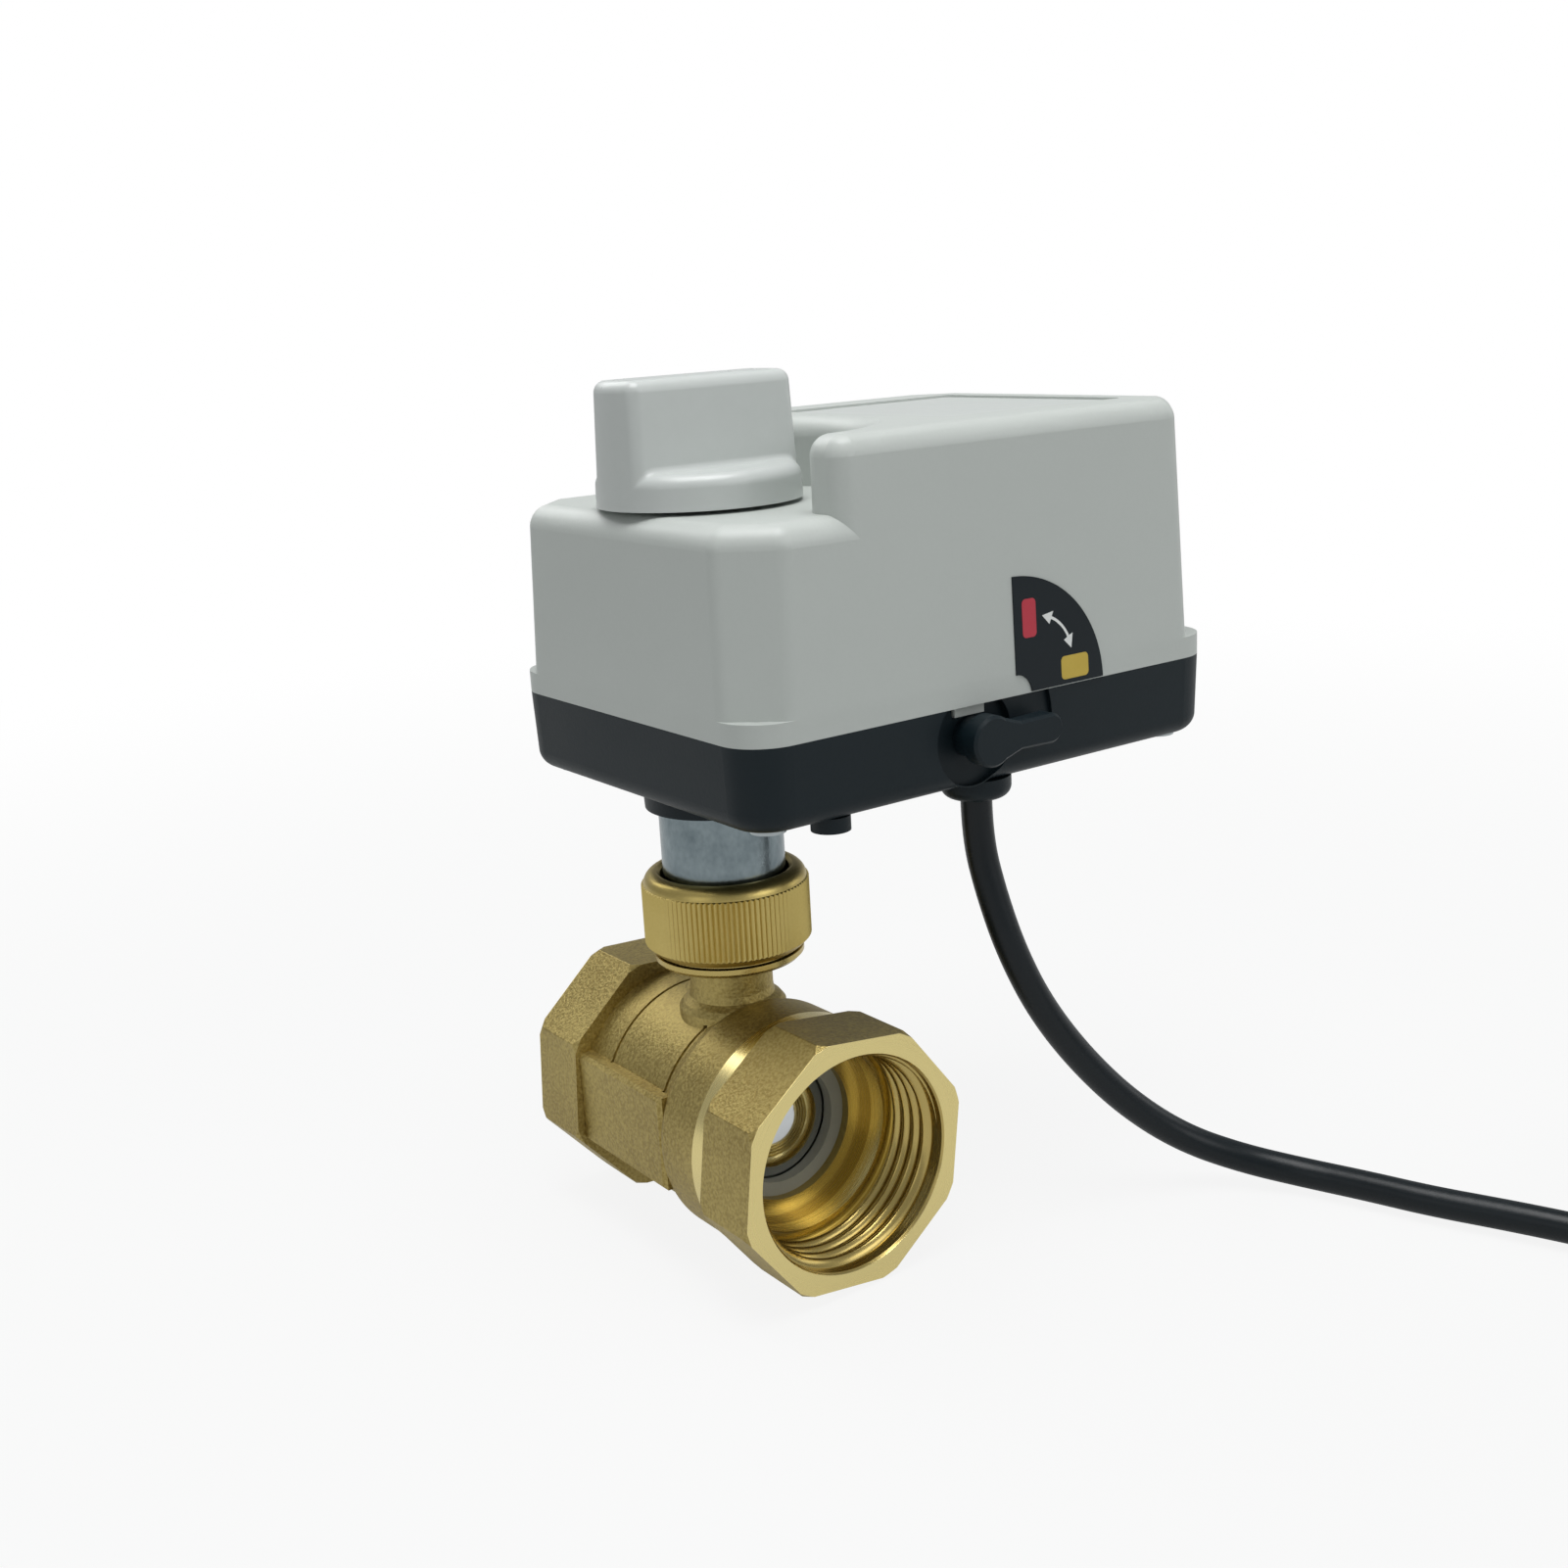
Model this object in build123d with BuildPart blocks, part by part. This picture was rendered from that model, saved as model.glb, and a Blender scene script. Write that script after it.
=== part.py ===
from build123d import *
import math
import os

# Motorized two-way ball valve with one-inch pipe ports, shown closed. Sizes are in millimetres.
# The origin is the centre of the front port's face, +Y runs along the pipe into the valve,
# +Z up the stem and +X along the drive housing, away from the knob.

os.makedirs("parts", exist_ok=True)

# Fits between pieces
RUNNING = 0.05
LOOSE = 0.3

# Brass body
FACE_TO_FACE = 61.0
STEM_Y = FACE_TO_FACE / 2
PORT_R = 16.62
PORT_THREAD = 12.0
PORT_CHAMFER = 0.4
OCTAGON_FLATS = 38.4
OCTAGON_TURNED_R = 20.75
OCTAGON_EDGE = 1.0
REAR_OCTAGON = 12.0
REAR_TURN = 3.2
CAP_OCTAGON = 12.2
CAP_TURN = 7.5
CAP_COLLAR_R = 18.9
CAP_LENGTH = 15.4
BODY_R = 17.45
BODY_NOSE_R = 18.75
NOSE_LENGTH = 8.1
NOSE_TAPER = 3.5
GROOVE_DEPTH = 0.35
GROOVE_WIDTH = 0.6
PAD_OUT = 18.2
PAD_HEIGHT = 15.2
PAD_LENGTH = 24.6
PAD_EDGE = 1.2

# Ball, seats and the passage through the body
BALL_R = 13.5
BALL_BORE_R = 8.5
CAVITY_GAP = 0.5
SEAT_GAP = 0.2
SEAT_OUTER_R = 13.0
SEAT_BORE_R = 9.3
SEAT_LENGTH = 4.4
LIP_R = 11.5
LIP_LENGTH = 1.5
LIP_DISTANCE = 12.0
PASSAGE_R = 14.8
SPIGOT_R = 16.5
CAP_GASKET = 0.6

# Neck, bonnet and stem
NECK_R = 6.5
NECK_FOOT_R = 8.4
NECK_FOOT_TOP = 18.0
BONNET_R = 11.2
BONNET_RING_R = 11.7
BONNET_BOTTOM = 25.0
BONNET_RING_TOP = 26.6
BONNET_TOP = 31.8
STEM_R = 4.0
STEM_SQUARE = 5.6
STEM_SQUARE_BOTTOM = 34.0
STEM_TOP = 44.0
COLLAR_R = 5.4
COLLAR_THICK = 1.4
WASHER_THICK = 0.6
TANG_WIDTH = 4.2
TANG_LENGTH = 9.0
TANG_DEPTH = 2.7
O_RING_WIRE = 0.65
O_RING_HEIGHTS = (19.0, 22.5)
PACKING_R = 7.0
PACKING_HEIGHT = 2.0
GLAND_HEIGHT = 2.1

# Steel tube and union nut
TUBE_R = 9.5
TUBE_WALL = 2.0
TUBE_FLANGE_R = 11.1
TUBE_FLANGE = 2.2
UNION_SEAL = 0.8
TUBE_HEAD_R = 12.4
TUBE_HEAD = 1.8
NUT_R = 13.0
NUT_BOTTOM = 26.9
NUT_TOP = 39.4
NUT_LIP_R = 10.0
NUT_ROUND = 2.1
NUT_FOOT = 1.3
KNURLS = 96
KNURL_DEPTH = 0.35

# Drive housing
HOUSING_LENGTH = 90.0
HOUSING_WIDTH = 66.0
HOUSING_LEFT = -16.0
HOUSING_RIGHT = HOUSING_LEFT + HOUSING_LENGTH
HOUSING_BOTTOM = 53.0
SEAM = 65.5
DECK = 94.9
TOP = 105.5
WALL = 2.0
FLOOR = 2.2
CORNER_R = 7.0
BASE_DRAFT = 0.5
BASE_ROUND = 3.0
COVER_DRAFT = 1.2
LIP_BAND = 3.3
CORNER_RELIEF = 7.0
SOFT_CORNER = 3.0
TOP_ROUND = 3.0
DECK_ROUND = 3.5
STEP_X = 1.5
HORN_WIDTH = 9.0
SCOOP_R = HOUSING_WIDTH / 2 - HORN_WIDTH
PANEL_LEFT = 30.0
PANEL_RIGHT = HOUSING_RIGHT - 8
PANEL_WIDTH = HOUSING_WIDTH - 24
PANEL_DEPTH = 0.5
GASKET_WIDTH = 1.0
GASKET_HEIGHT = 1.2
COLLAR_UNDER_R = 11.6
COLLAR_UNDER = 3.2
FOOT_R = 2.9
FOOT_HEIGHT = 2.2
FOOT_X = 0.2
FOOT_INSET = 5.0
SCREW_INSET = 6.5
SCREW_BOSS_R = 3.2
SCREW_R = 1.4
SCREW_HEAD_R = 2.6
SCREW_HEAD = 2.0
SCREW_LENGTH = 14.0

# Knob
KNOB_R = 15.2
KNOB_TOP_R = 14.6
KNOB_GAP = 0.6
KNOB_SHELF = 5.1
KNOB_HEIGHT = 18.1
GRIP_HALF = 6.0
GRIP_DRAFT = 0.5
GRIP_ROUND = 2.0
KNOB_HUB_R = 5.5
DECK_HOLE_R = 6.0

# Manual and automatic lever on the long side
LEVER_X = 23.5
LEVER_Z = SEAM - 4.9
LEVER_REACH = 13.4
LEVER_HUB_R = 3.8
LEVER_TIP_R = 2.25
LEVER_WAIST = 2.1
LEVER_NECK_R = 3.0
LEVER_THICK = 2.8
LEVER_PROUD = 4.0
RECESS_R = 7.3
RECESS_DEPTH = 2.0
SWEEP_R = 15.0
SWEEP_DEPTH = 0.8
TAB_WIDTH = 5.6
TAB_DROP = 1.7
LEVER_SHAFT_R = 2.5
LEVER_BOSS_R = 7.5
LEVER_BOSS = 2.0
LEVER_SHAFT_LENGTH = 14.0
ECCENTRIC_R = 1.6
ECCENTRIC_LENGTH = 5.0

# Gear train, every axis on the housing's middle plane
PLATE = 1.5
PLATE_HALF_WIDTH = 21.0
PLATE_LEFT = -12.5
LOWER_PLATE_RIGHT = 46.5
UPPER_PLATE_RIGHT = HOUSING_RIGHT - 4.5
UPPER_PLATE_BOTTOM = 77.0
SHAFT_LOW_R = 6.5
SHAFT_R = 5.0
SHAFT_TOP_R = 4.0
SHAFT_FLAT = 3.2
SOCKET_BOTTOM = 35.5
AXLE_R = 1.5
GEAR_GAP = 0.1
OUTPUT_TEETH, CLUTCH_PINION_TEETH, OUTPUT_MODULE = 30, 12, 0.8
CLUTCH_TEETH, IDLER_PINION_TEETH, CLUTCH_MODULE = 38, 12, 0.6
IDLER_TEETH, MOTOR_TEETH, MOTOR_MODULE = 36, 10, 0.5
OUTPUT_GEAR_BOTTOM, OUTPUT_GEAR_HEIGHT = 60.0, 6.0
CLUTCH_PINION_HEIGHT = 7.2
CLUTCH_WHEEL_BOTTOM, CLUTCH_WHEEL_HEIGHT = 68.4, 1.8
CLUTCH_LIFT = 2.2
IDLER_WHEEL_BOTTOM, IDLER_WHEEL_HEIGHT = 62.0, 2.0
MOTOR_PINION_HEIGHT = 3.4
MOTOR_R = HOUSING_LENGTH / 4.5
MOTOR_HEIGHT = 20.5
MOTOR_X = HOUSING_RIGHT - 5.5 - MOTOR_R
PILLAR_R = 2.5
PILLAR_LEFT, PILLAR_RIGHT, PILLAR_HALF = -9.0, 33.0, 17.5
FORK_THICK = 0.8
FORK_RING_R = 8.5
FORK_FOOT_Y = -14.5
FORK_FOOT = 5.0
GUIDE_X, GUIDE_Y = 12.0, -17.0
SPRING_R = 3.0
SPRING_WIRE = 0.3
SPRING_TURNS = 5

# Cams, limit switches and boards
CAM_R = 9.5
CAM_LOBE_R = 11.7
CAM_HEIGHT = 2.4
CLOSE_CAM_BOTTOM, OPEN_CAM_BOTTOM = 83.0, 86.2
SWITCH_LENGTH, SWITCH_DEPTH, SWITCH_HEIGHT = 20.0, 10.0, 6.8
SWITCH_FACE = 14.0
BUTTON_TRAVEL = 0.8
BOARD = 1.6
BOARD_BOTTOM = 81.0
TERMINAL_BOARD_BOTTOM = 58.6
BOARD_LEFT, BOARD_RIGHT = -11.0, MOTOR_X - MOTOR_R - 4.5
BOARD_WIDTH = HOUSING_WIDTH - 14
SPACER_R = 2.0
TERMINAL_LEFT = 50.0
TERMINAL_RIGHT = HOUSING_RIGHT - 4
BLOCK_DEPTH = 0.75 * (TERMINAL_RIGHT - TERMINAL_LEFT)
BLOCK_LENGTH, BLOCK_HEIGHT = 28.0, 10.0
BLOCK_PITCH = 5.4
CAPACITOR_LENGTH, CAPACITOR_HEIGHT = 9.0, 14.0

# Cable
CABLE_R = 2.4
GLAND_X, GLAND_Y = 28.9, STEM_Y - HOUSING_WIDTH / 2 + 6.8
GLAND_R = 5.35
GLAND_DROP = 3.4
CORE_R = 0.8
CORE_OFFSET = 1.1
CORE_LENGTH = 11.0
CORE_SPREAD = 1.6  # How far each tip ends from the straight
LYING_Z = -17.4
COIL_CENTRE = (120.5, -74.5)
COIL_R = 27.4
COIL_HEADING = -75.0
COIL_HALVES = (0, 1, 2, 1, 0)  # Steps in from the outside, half turn by half turn; it climbs at the third
TURN_PITCH = 5.4
TIE_WIDTH = 3.0
TIE_THICK = 0.5

# Label beside the lever
LABEL_X = 31.3
LABEL_R = 17.4
LABEL_NOTCH_R = 3.0
LABEL_THICK = 0.2

# Places worked out from the sizes above
HOUSING_MID_X = HOUSING_LEFT + HOUSING_LENGTH / 2
HOUSING_FRONT = STEM_Y - HOUSING_WIDTH / 2
FLOOR_TOP = HOUSING_BOTTOM + FLOOR
TUBE_BOTTOM = BONNET_TOP + UNION_SEAL
LOWER_PLATE_BOTTOM = FLOOR_TOP + TUBE_HEAD
LOWER_PLATE_TOP = LOWER_PLATE_BOTTOM + PLATE
UPPER_PLATE_TOP = UPPER_PLATE_BOTTOM + PLATE
CLUTCH_X = (OUTPUT_TEETH + CLUTCH_PINION_TEETH) * OUTPUT_MODULE / 2
IDLER_X = CLUTCH_X + (CLUTCH_TEETH + IDLER_PINION_TEETH) * CLUTCH_MODULE / 2
PINION_X = IDLER_X + (IDLER_TEETH + MOTOR_TEETH) * MOTOR_MODULE / 2
KNOB_BOTTOM = DECK + KNOB_GAP
ECCENTRIC_OFFSET = CLUTCH_LIFT / math.sqrt(2)
STEM_AXIS = Axis((0, STEM_Y, 0), (0, 0, 1))


def at_stem(x, z):
    """A level plane at height z, its centre x along the housing from the stem's axis."""
    return Plane(origin=(x, STEM_Y, z), x_dir=(1, 0, 0), z_dir=(0, 0, 1))


def across_pipe(y):
    """A plane square to the pipe at y, facing into the valve."""
    return Plane(origin=(0, y, 0), x_dir=(0, 0, 1), z_dir=(0, 1, 0))


def facing_front(x, y, z):
    """An upright plane that faces out of the housing's front wall."""
    return Plane(origin=(x, y, z), x_dir=(1, 0, 0), z_dir=(0, -1, 0))


STEM_SECTION = facing_front(0, STEM_Y, 0)


def octagon_end(start, length, turn):
    """One eight-sided end of the body, with the corners turned round and both edges eased."""
    end = start + length
    eased = OCTAGON_TURNED_R - OCTAGON_EDGE / 2
    with BuildPart() as block:
        with BuildSketch(across_pipe(start)):
            RegularPolygon(OCTAGON_FLATS / 2, 8, major_radius=False, rotation=22.5 + turn)
        extrude(amount=length)
        with BuildSketch(Plane.XY):
            with BuildLine():
                Polyline((0, start), (eased, start), (OCTAGON_TURNED_R, start + OCTAGON_EDGE),
                         (OCTAGON_TURNED_R, end - OCTAGON_EDGE), (eased, end), (0, end), close=True)
            make_face()
        revolve(axis=Axis.Y, mode=Mode.INTERSECT)
    return block.part


def port_passage(face, inward):
    """The room inside one port: mouth chamfer, thread bore, passage and seat lip."""
    thread_end = PORT_CHAMFER + PORT_THREAD
    lip_out = STEM_Y - LIP_DISTANCE - LIP_LENGTH
    steps = ((PORT_R + LOOSE, 0), (PORT_R, PORT_CHAMFER), (PORT_R, thread_end), (PASSAGE_R, thread_end),
             (PASSAGE_R, lip_out), (LIP_R, lip_out), (LIP_R, STEM_Y - LIP_DISTANCE),
             (0, STEM_Y - LIP_DISTANCE))
    with BuildPart() as room:
        with BuildSketch(Plane.XY):
            with BuildLine():
                Polyline((0, face), *[(r, face + inward * depth) for r, depth in steps], close=True)
            make_face()
        revolve(axis=Axis.Y)
    return room.part


def housing_block(wall, top):
    """The cover's walls as a solid block, each face standing wall inside the outer one."""
    share = (top - SEAM - LIP_BAND) / (TOP - SEAM - LIP_BAND)
    with BuildPart() as block:
        with BuildSketch(at_stem(HOUSING_MID_X, SEAM)):
            RectangleRounded(HOUSING_LENGTH - 2 * wall, HOUSING_WIDTH - 2 * wall, CORNER_R - wall)
        extrude(amount=LIP_BAND)
        for height, inset in ((SEAM + LIP_BAND, wall), (top, wall + COVER_DRAFT * share)):
            with BuildSketch(at_stem(HOUSING_MID_X, height)) as outline:
                Rectangle(HOUSING_LENGTH - 2 * inset, HOUSING_WIDTH - 2 * inset)
                chamfer(outline.vertices(), CORNER_RELIEF - wall / 2)
                fillet(outline.vertices(), SOFT_CORNER)
        loft()
    return block.part


def deck_cut(wall, bottom):
    """What is cut away over the low deck: the end by the knob, and the scoop round the knob."""
    with BuildPart() as cut:
        with BuildSketch(at_stem(0, bottom)):
            with Locations((STEP_X + wall - HOUSING_LENGTH / 2, 0)):
                Rectangle(HOUSING_LENGTH, 2 * HOUSING_WIDTH)
            Circle(SCOOP_R + wall)
        extrude(amount=TOP)
    return cut.part


def gear_outline(teeth, module, phase):
    """Points round a spur gear with involute flanks, thin enough to run with play."""
    pitch_r = teeth * module / 2
    base_r = pitch_r * math.cos(math.radians(20))
    root_r = pitch_r - 1.2 * module
    tip_r = pitch_r + 0.85 * module

    def spread(radius):
        angle = math.acos(min(1.0, base_r / radius))
        return math.tan(angle) - angle

    half_pitch = 0.42 * math.pi / teeth
    radii = [root_r, max(base_r, root_r + 0.05 * module), pitch_r, (pitch_r + tip_r) / 2, tip_r]
    points = []
    for tooth in range(teeth):
        centre = math.radians(phase) + 2 * math.pi * tooth / teeth
        half = [half_pitch + spread(pitch_r) - spread(max(radius, base_r)) for radius in radii]
        flank = list(zip(radii, half))
        for radius, angle in flank:
            points.append((radius * math.cos(centre - angle), radius * math.sin(centre - angle)))
        for radius, angle in reversed(flank):
            points.append((radius * math.cos(centre + angle), radius * math.sin(centre + angle)))
    return points


def gear_disc(plane, teeth, module, height, phase=0.0):
    """A toothed disc on a level plane."""
    with BuildPart() as disc:
        with BuildSketch(plane):
            with BuildLine():
                Polyline(*gear_outline(teeth, module, phase), close=True)
            make_face()
        extrude(amount=height)
    return disc.part


def meshed(teeth):
    """The turn that puts a tooth gap, not a tooth, on the side of the gear before it."""
    return 180 + 180 / teeth


def ring(plane, outer, inner, height):
    """A plain ring or washer on a plane."""
    with BuildPart() as blank:
        with BuildSketch(plane):
            Circle(outer)
            Circle(inner, mode=Mode.SUBTRACT)
        extrude(amount=height)
    return blank.part


# Valve body: rear octagon, barrel, nose that takes the end cap, neck and bonnet
joint_y = CAP_LENGTH
rear_octagon_y = FACE_TO_FACE - REAR_OCTAGON
taper_start = joint_y + NOSE_LENGTH
taper_end = taper_start + NOSE_TAPER
shoulder_y = STEM_Y - LIP_DISTANCE + SEAT_LENGTH + CAP_GASKET
rear_octagon = octagon_end(rear_octagon_y, REAR_OCTAGON, REAR_TURN)
rear_passage = port_passage(FACE_TO_FACE, -1)
collar_bottom = BALL_R + CAVITY_GAP + 0.2
washer_bottom = collar_bottom + COLLAR_THICK
pocket_top = washer_bottom + WASHER_THICK
packing_bottom = BONNET_TOP - GLAND_HEIGHT - PACKING_HEIGHT
packing_top = packing_bottom + PACKING_HEIGHT
rear_seat_y = STEM_Y + LIP_DISTANCE - SEAT_LENGTH

with BuildPart() as pads:
    for side in (-1, 1):
        with Locations((side * (PAD_OUT - 2), rear_octagon_y + 0.5 - PAD_LENGTH / 2, 0)):
            Box(4, PAD_LENGTH, PAD_HEIGHT)
    chamfer(pads.faces().sort_by(Axis.X)[0].edges() + pads.faces().sort_by(Axis.X)[-1].edges(), PAD_EDGE / 2)

with BuildPart() as valve_body:
    with BuildSketch(Plane.XY):
        with BuildLine():
            Polyline((BODY_R, taper_end), (BODY_R, rear_octagon_y + OCTAGON_EDGE),
                     (0, rear_octagon_y + OCTAGON_EDGE), (0, joint_y), (BODY_NOSE_R, joint_y),
                     (BODY_NOSE_R, taper_start))
            Bezier((BODY_NOSE_R, taper_start), (BODY_NOSE_R, taper_start + NOSE_TAPER / 3),
                   (BODY_R, taper_end - NOSE_TAPER / 2), (BODY_R, taper_end))
        make_face()
    revolve(axis=Axis.Y)
    add(pads.part)
    add(rear_octagon)
    with BuildSketch(STEM_SECTION):
        with BuildLine():
            Polyline((0, BALL_R), (NECK_FOOT_R, BALL_R), (NECK_FOOT_R, NECK_FOOT_TOP - 0.9),
                     (NECK_FOOT_R - 0.7, NECK_FOOT_TOP), (NECK_R + 0.2, NECK_FOOT_TOP + 0.8),
                     (NECK_R, NECK_FOOT_TOP + 2), (NECK_R, BONNET_BOTTOM - 0.4),
                     (BONNET_RING_R - 0.6, BONNET_BOTTOM), (BONNET_RING_R, BONNET_BOTTOM + 0.6),
                     (BONNET_RING_R, BONNET_RING_TOP - 0.2), (BONNET_R, BONNET_RING_TOP),
                     (BONNET_R, BONNET_TOP), (0, BONNET_TOP), close=True)
        make_face()
    revolve(axis=STEM_AXIS)
    with BuildSketch(Plane.XY):
        for groove_y in (taper_end, rear_octagon_y - 6.5):
            with Locations((BODY_R, groove_y)):
                Rectangle(2 * GROOVE_DEPTH, GROOVE_WIDTH)
    revolve(axis=Axis.Y, mode=Mode.SUBTRACT)
    add(rear_passage, mode=Mode.SUBTRACT)
    with BuildSketch(Plane.XY):
        with BuildLine():
            Polyline((0, joint_y), (SPIGOT_R, joint_y), (SPIGOT_R, shoulder_y),
                     (BALL_R + CAVITY_GAP, shoulder_y), (BALL_R + CAVITY_GAP, rear_seat_y),
                     (SEAT_OUTER_R, rear_seat_y), (SEAT_OUTER_R, rear_seat_y + SEAT_LENGTH),
                     (0, rear_seat_y + SEAT_LENGTH), close=True)
        make_face()
    revolve(axis=Axis.Y, mode=Mode.SUBTRACT)
    with BuildSketch(STEM_SECTION):
        with BuildLine():
            Polyline((0, 0), (COLLAR_R + LOOSE, 0), (COLLAR_R + LOOSE, pocket_top),
                     (STEM_R + RUNNING, pocket_top), (STEM_R + RUNNING, packing_bottom),
                     (PACKING_R, packing_bottom), (PACKING_R, BONNET_TOP), (0, BONNET_TOP), close=True)
        make_face()
    revolve(axis=STEM_AXIS, mode=Mode.SUBTRACT)
valve_body.part.label = "valve_body"
export_step(valve_body.part, "parts/valve_body.step")

# End cap: the front octagon, screwed into the body on a spigot that holds the front seat
spigot_end = shoulder_y - CAP_GASKET
cap_octagon = octagon_end(0, CAP_OCTAGON, CAP_TURN)
front_passage = port_passage(0, 1)
with BuildPart() as end_cap:
    add(cap_octagon)
    with BuildSketch(across_pipe(CAP_OCTAGON)):
        Circle(CAP_COLLAR_R)
    extrude(amount=CAP_LENGTH - CAP_OCTAGON)
    with BuildSketch(across_pipe(CAP_LENGTH)):
        Circle(SPIGOT_R)
    extrude(amount=spigot_end - CAP_LENGTH)
    add(front_passage, mode=Mode.SUBTRACT)
    with BuildSketch(across_pipe(STEM_Y - LIP_DISTANCE)):
        Circle(SEAT_OUTER_R)
    extrude(amount=SEAT_LENGTH, mode=Mode.SUBTRACT)
end_cap.part.label = "end_cap"
export_step(end_cap.part, "parts/end_cap.step")

with BuildPart() as cap_gasket:
    with BuildSketch(across_pipe(spigot_end)):
        Circle(SPIGOT_R - RUNNING)
        Circle(BALL_R + CAVITY_GAP + RUNNING, mode=Mode.SUBTRACT)
    extrude(amount=CAP_GASKET)
cap_gasket.part.label = "cap_gasket"
export_step(cap_gasket.part, "parts/cap_gasket.step")

# Seats: hollowed to the ball, which runs a hair clear of them
with BuildPart() as front_seat:
    with BuildSketch(across_pipe(STEM_Y - LIP_DISTANCE)):
        Circle(SEAT_OUTER_R - RUNNING)
        Circle(SEAT_BORE_R, mode=Mode.SUBTRACT)
    extrude(amount=SEAT_LENGTH)
    with Locations((0, STEM_Y, 0)):
        Sphere(BALL_R + SEAT_GAP, mode=Mode.SUBTRACT)
front_seat.part.label = "front_seat"
export_step(front_seat.part, "parts/front_seat.step")

with BuildPart() as rear_seat:
    with BuildSketch(across_pipe(rear_seat_y)):
        Circle(SEAT_OUTER_R - RUNNING)
        Circle(SEAT_BORE_R, mode=Mode.SUBTRACT)
    extrude(amount=SEAT_LENGTH)
    with Locations((0, STEM_Y, 0)):
        Sphere(BALL_R + SEAT_GAP, mode=Mode.SUBTRACT)
rear_seat.part.label = "rear_seat"
export_step(rear_seat.part, "parts/rear_seat.step")

# Ball: closed, so its bore lies across the pipe
tang_bottom = BALL_R - TANG_DEPTH
with BuildPart() as ball:
    with Locations((0, STEM_Y, 0)):
        Sphere(BALL_R)
        Cylinder(BALL_BORE_R, 3 * BALL_R, rotation=(0, 90, 0), mode=Mode.SUBTRACT)
    with BuildSketch(at_stem(0, tang_bottom - RUNNING)):
        Rectangle(TANG_WIDTH + 2 * RUNNING, 2 * BALL_R)
    extrude(amount=BALL_R, mode=Mode.SUBTRACT)
ball.part.label = "ball"
export_step(ball.part, "parts/ball.step")

# Stem: tang in the ball's slot, collar, two O-ring grooves, square head for the drive
with BuildPart() as stem:
    groove_r = STEM_R - 2 * O_RING_WIRE
    with BuildSketch(at_stem(0, collar_bottom)):
        Circle(COLLAR_R)
    extrude(amount=COLLAR_THICK)
    with BuildSketch(at_stem(0, washer_bottom)):
        Circle(STEM_R)
    extrude(amount=STEM_SQUARE_BOTTOM - washer_bottom)
    with BuildSketch(at_stem(0, STEM_SQUARE_BOTTOM)):
        Rectangle(STEM_SQUARE, STEM_SQUARE)
    extrude(amount=STEM_TOP - STEM_SQUARE_BOTTOM)
    with BuildSketch(at_stem(0, tang_bottom)):
        Rectangle(TANG_WIDTH, TANG_LENGTH)
    extrude(amount=collar_bottom - tang_bottom)
    for height in O_RING_HEIGHTS:
        with BuildSketch(at_stem(0, height - O_RING_WIRE)):
            Circle(STEM_R + 1)
            Circle(groove_r, mode=Mode.SUBTRACT)
        extrude(amount=2 * O_RING_WIRE, mode=Mode.SUBTRACT)
    chamfer(stem.faces().sort_by(Axis.Z)[-1].edges(), 0.5)
stem.part.label = "stem"
export_step(stem.part, "parts/stem.step")

with BuildPart() as stem_o_rings:
    for height in O_RING_HEIGHTS:
        with Locations((0, STEM_Y, height)):
            Torus(STEM_R - O_RING_WIRE, O_RING_WIRE)
stem_o_rings.part.label = "stem_o_rings"
export_step(stem_o_rings.part, "parts/stem_o_rings.step")

with BuildPart() as thrust_washer:
    add(ring(at_stem(0, washer_bottom + 0.02), COLLAR_R + LOOSE / 2, STEM_R + RUNNING, WASHER_THICK - 0.04))
thrust_washer.part.label = "thrust_washer"
export_step(thrust_washer.part, "parts/thrust_washer.step")

with BuildPart() as stem_packing:
    add(ring(at_stem(0, packing_bottom), PACKING_R - RUNNING, STEM_R + RUNNING, PACKING_HEIGHT))
stem_packing.part.label = "stem_packing"
export_step(stem_packing.part, "parts/stem_packing.step")

with BuildPart() as gland_bush:
    add(ring(at_stem(0, packing_top), PACKING_R - RUNNING, STEM_R + RUNNING, GLAND_HEIGHT))
gland_bush.part.label = "gland_bush"
export_step(gland_bush.part, "parts/gland_bush.step")

# Mounting tube: flanged foot under the union nut, head riveted inside the housing
with BuildPart() as mounting_tube:
    with BuildSketch(STEM_SECTION):
        with BuildLine():
            Polyline((TUBE_R - TUBE_WALL, TUBE_BOTTOM), (TUBE_FLANGE_R, TUBE_BOTTOM),
                     (TUBE_FLANGE_R, TUBE_BOTTOM + TUBE_FLANGE), (TUBE_R, TUBE_BOTTOM + TUBE_FLANGE),
                     (TUBE_R, FLOOR_TOP), (TUBE_HEAD_R, FLOOR_TOP), (TUBE_HEAD_R, LOWER_PLATE_BOTTOM),
                     (TUBE_R - TUBE_WALL, LOWER_PLATE_BOTTOM), close=True)
        make_face()
    revolve(axis=STEM_AXIS)
mounting_tube.part.label = "mounting_tube"
export_step(mounting_tube.part, "parts/mounting_tube.step")

with BuildPart() as union_seal:
    add(ring(at_stem(0, BONNET_TOP), BONNET_R - LOOSE, PACKING_R + LOOSE, UNION_SEAL))
union_seal.part.label = "union_seal"
export_step(union_seal.part, "parts/union_seal.step")

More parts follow.
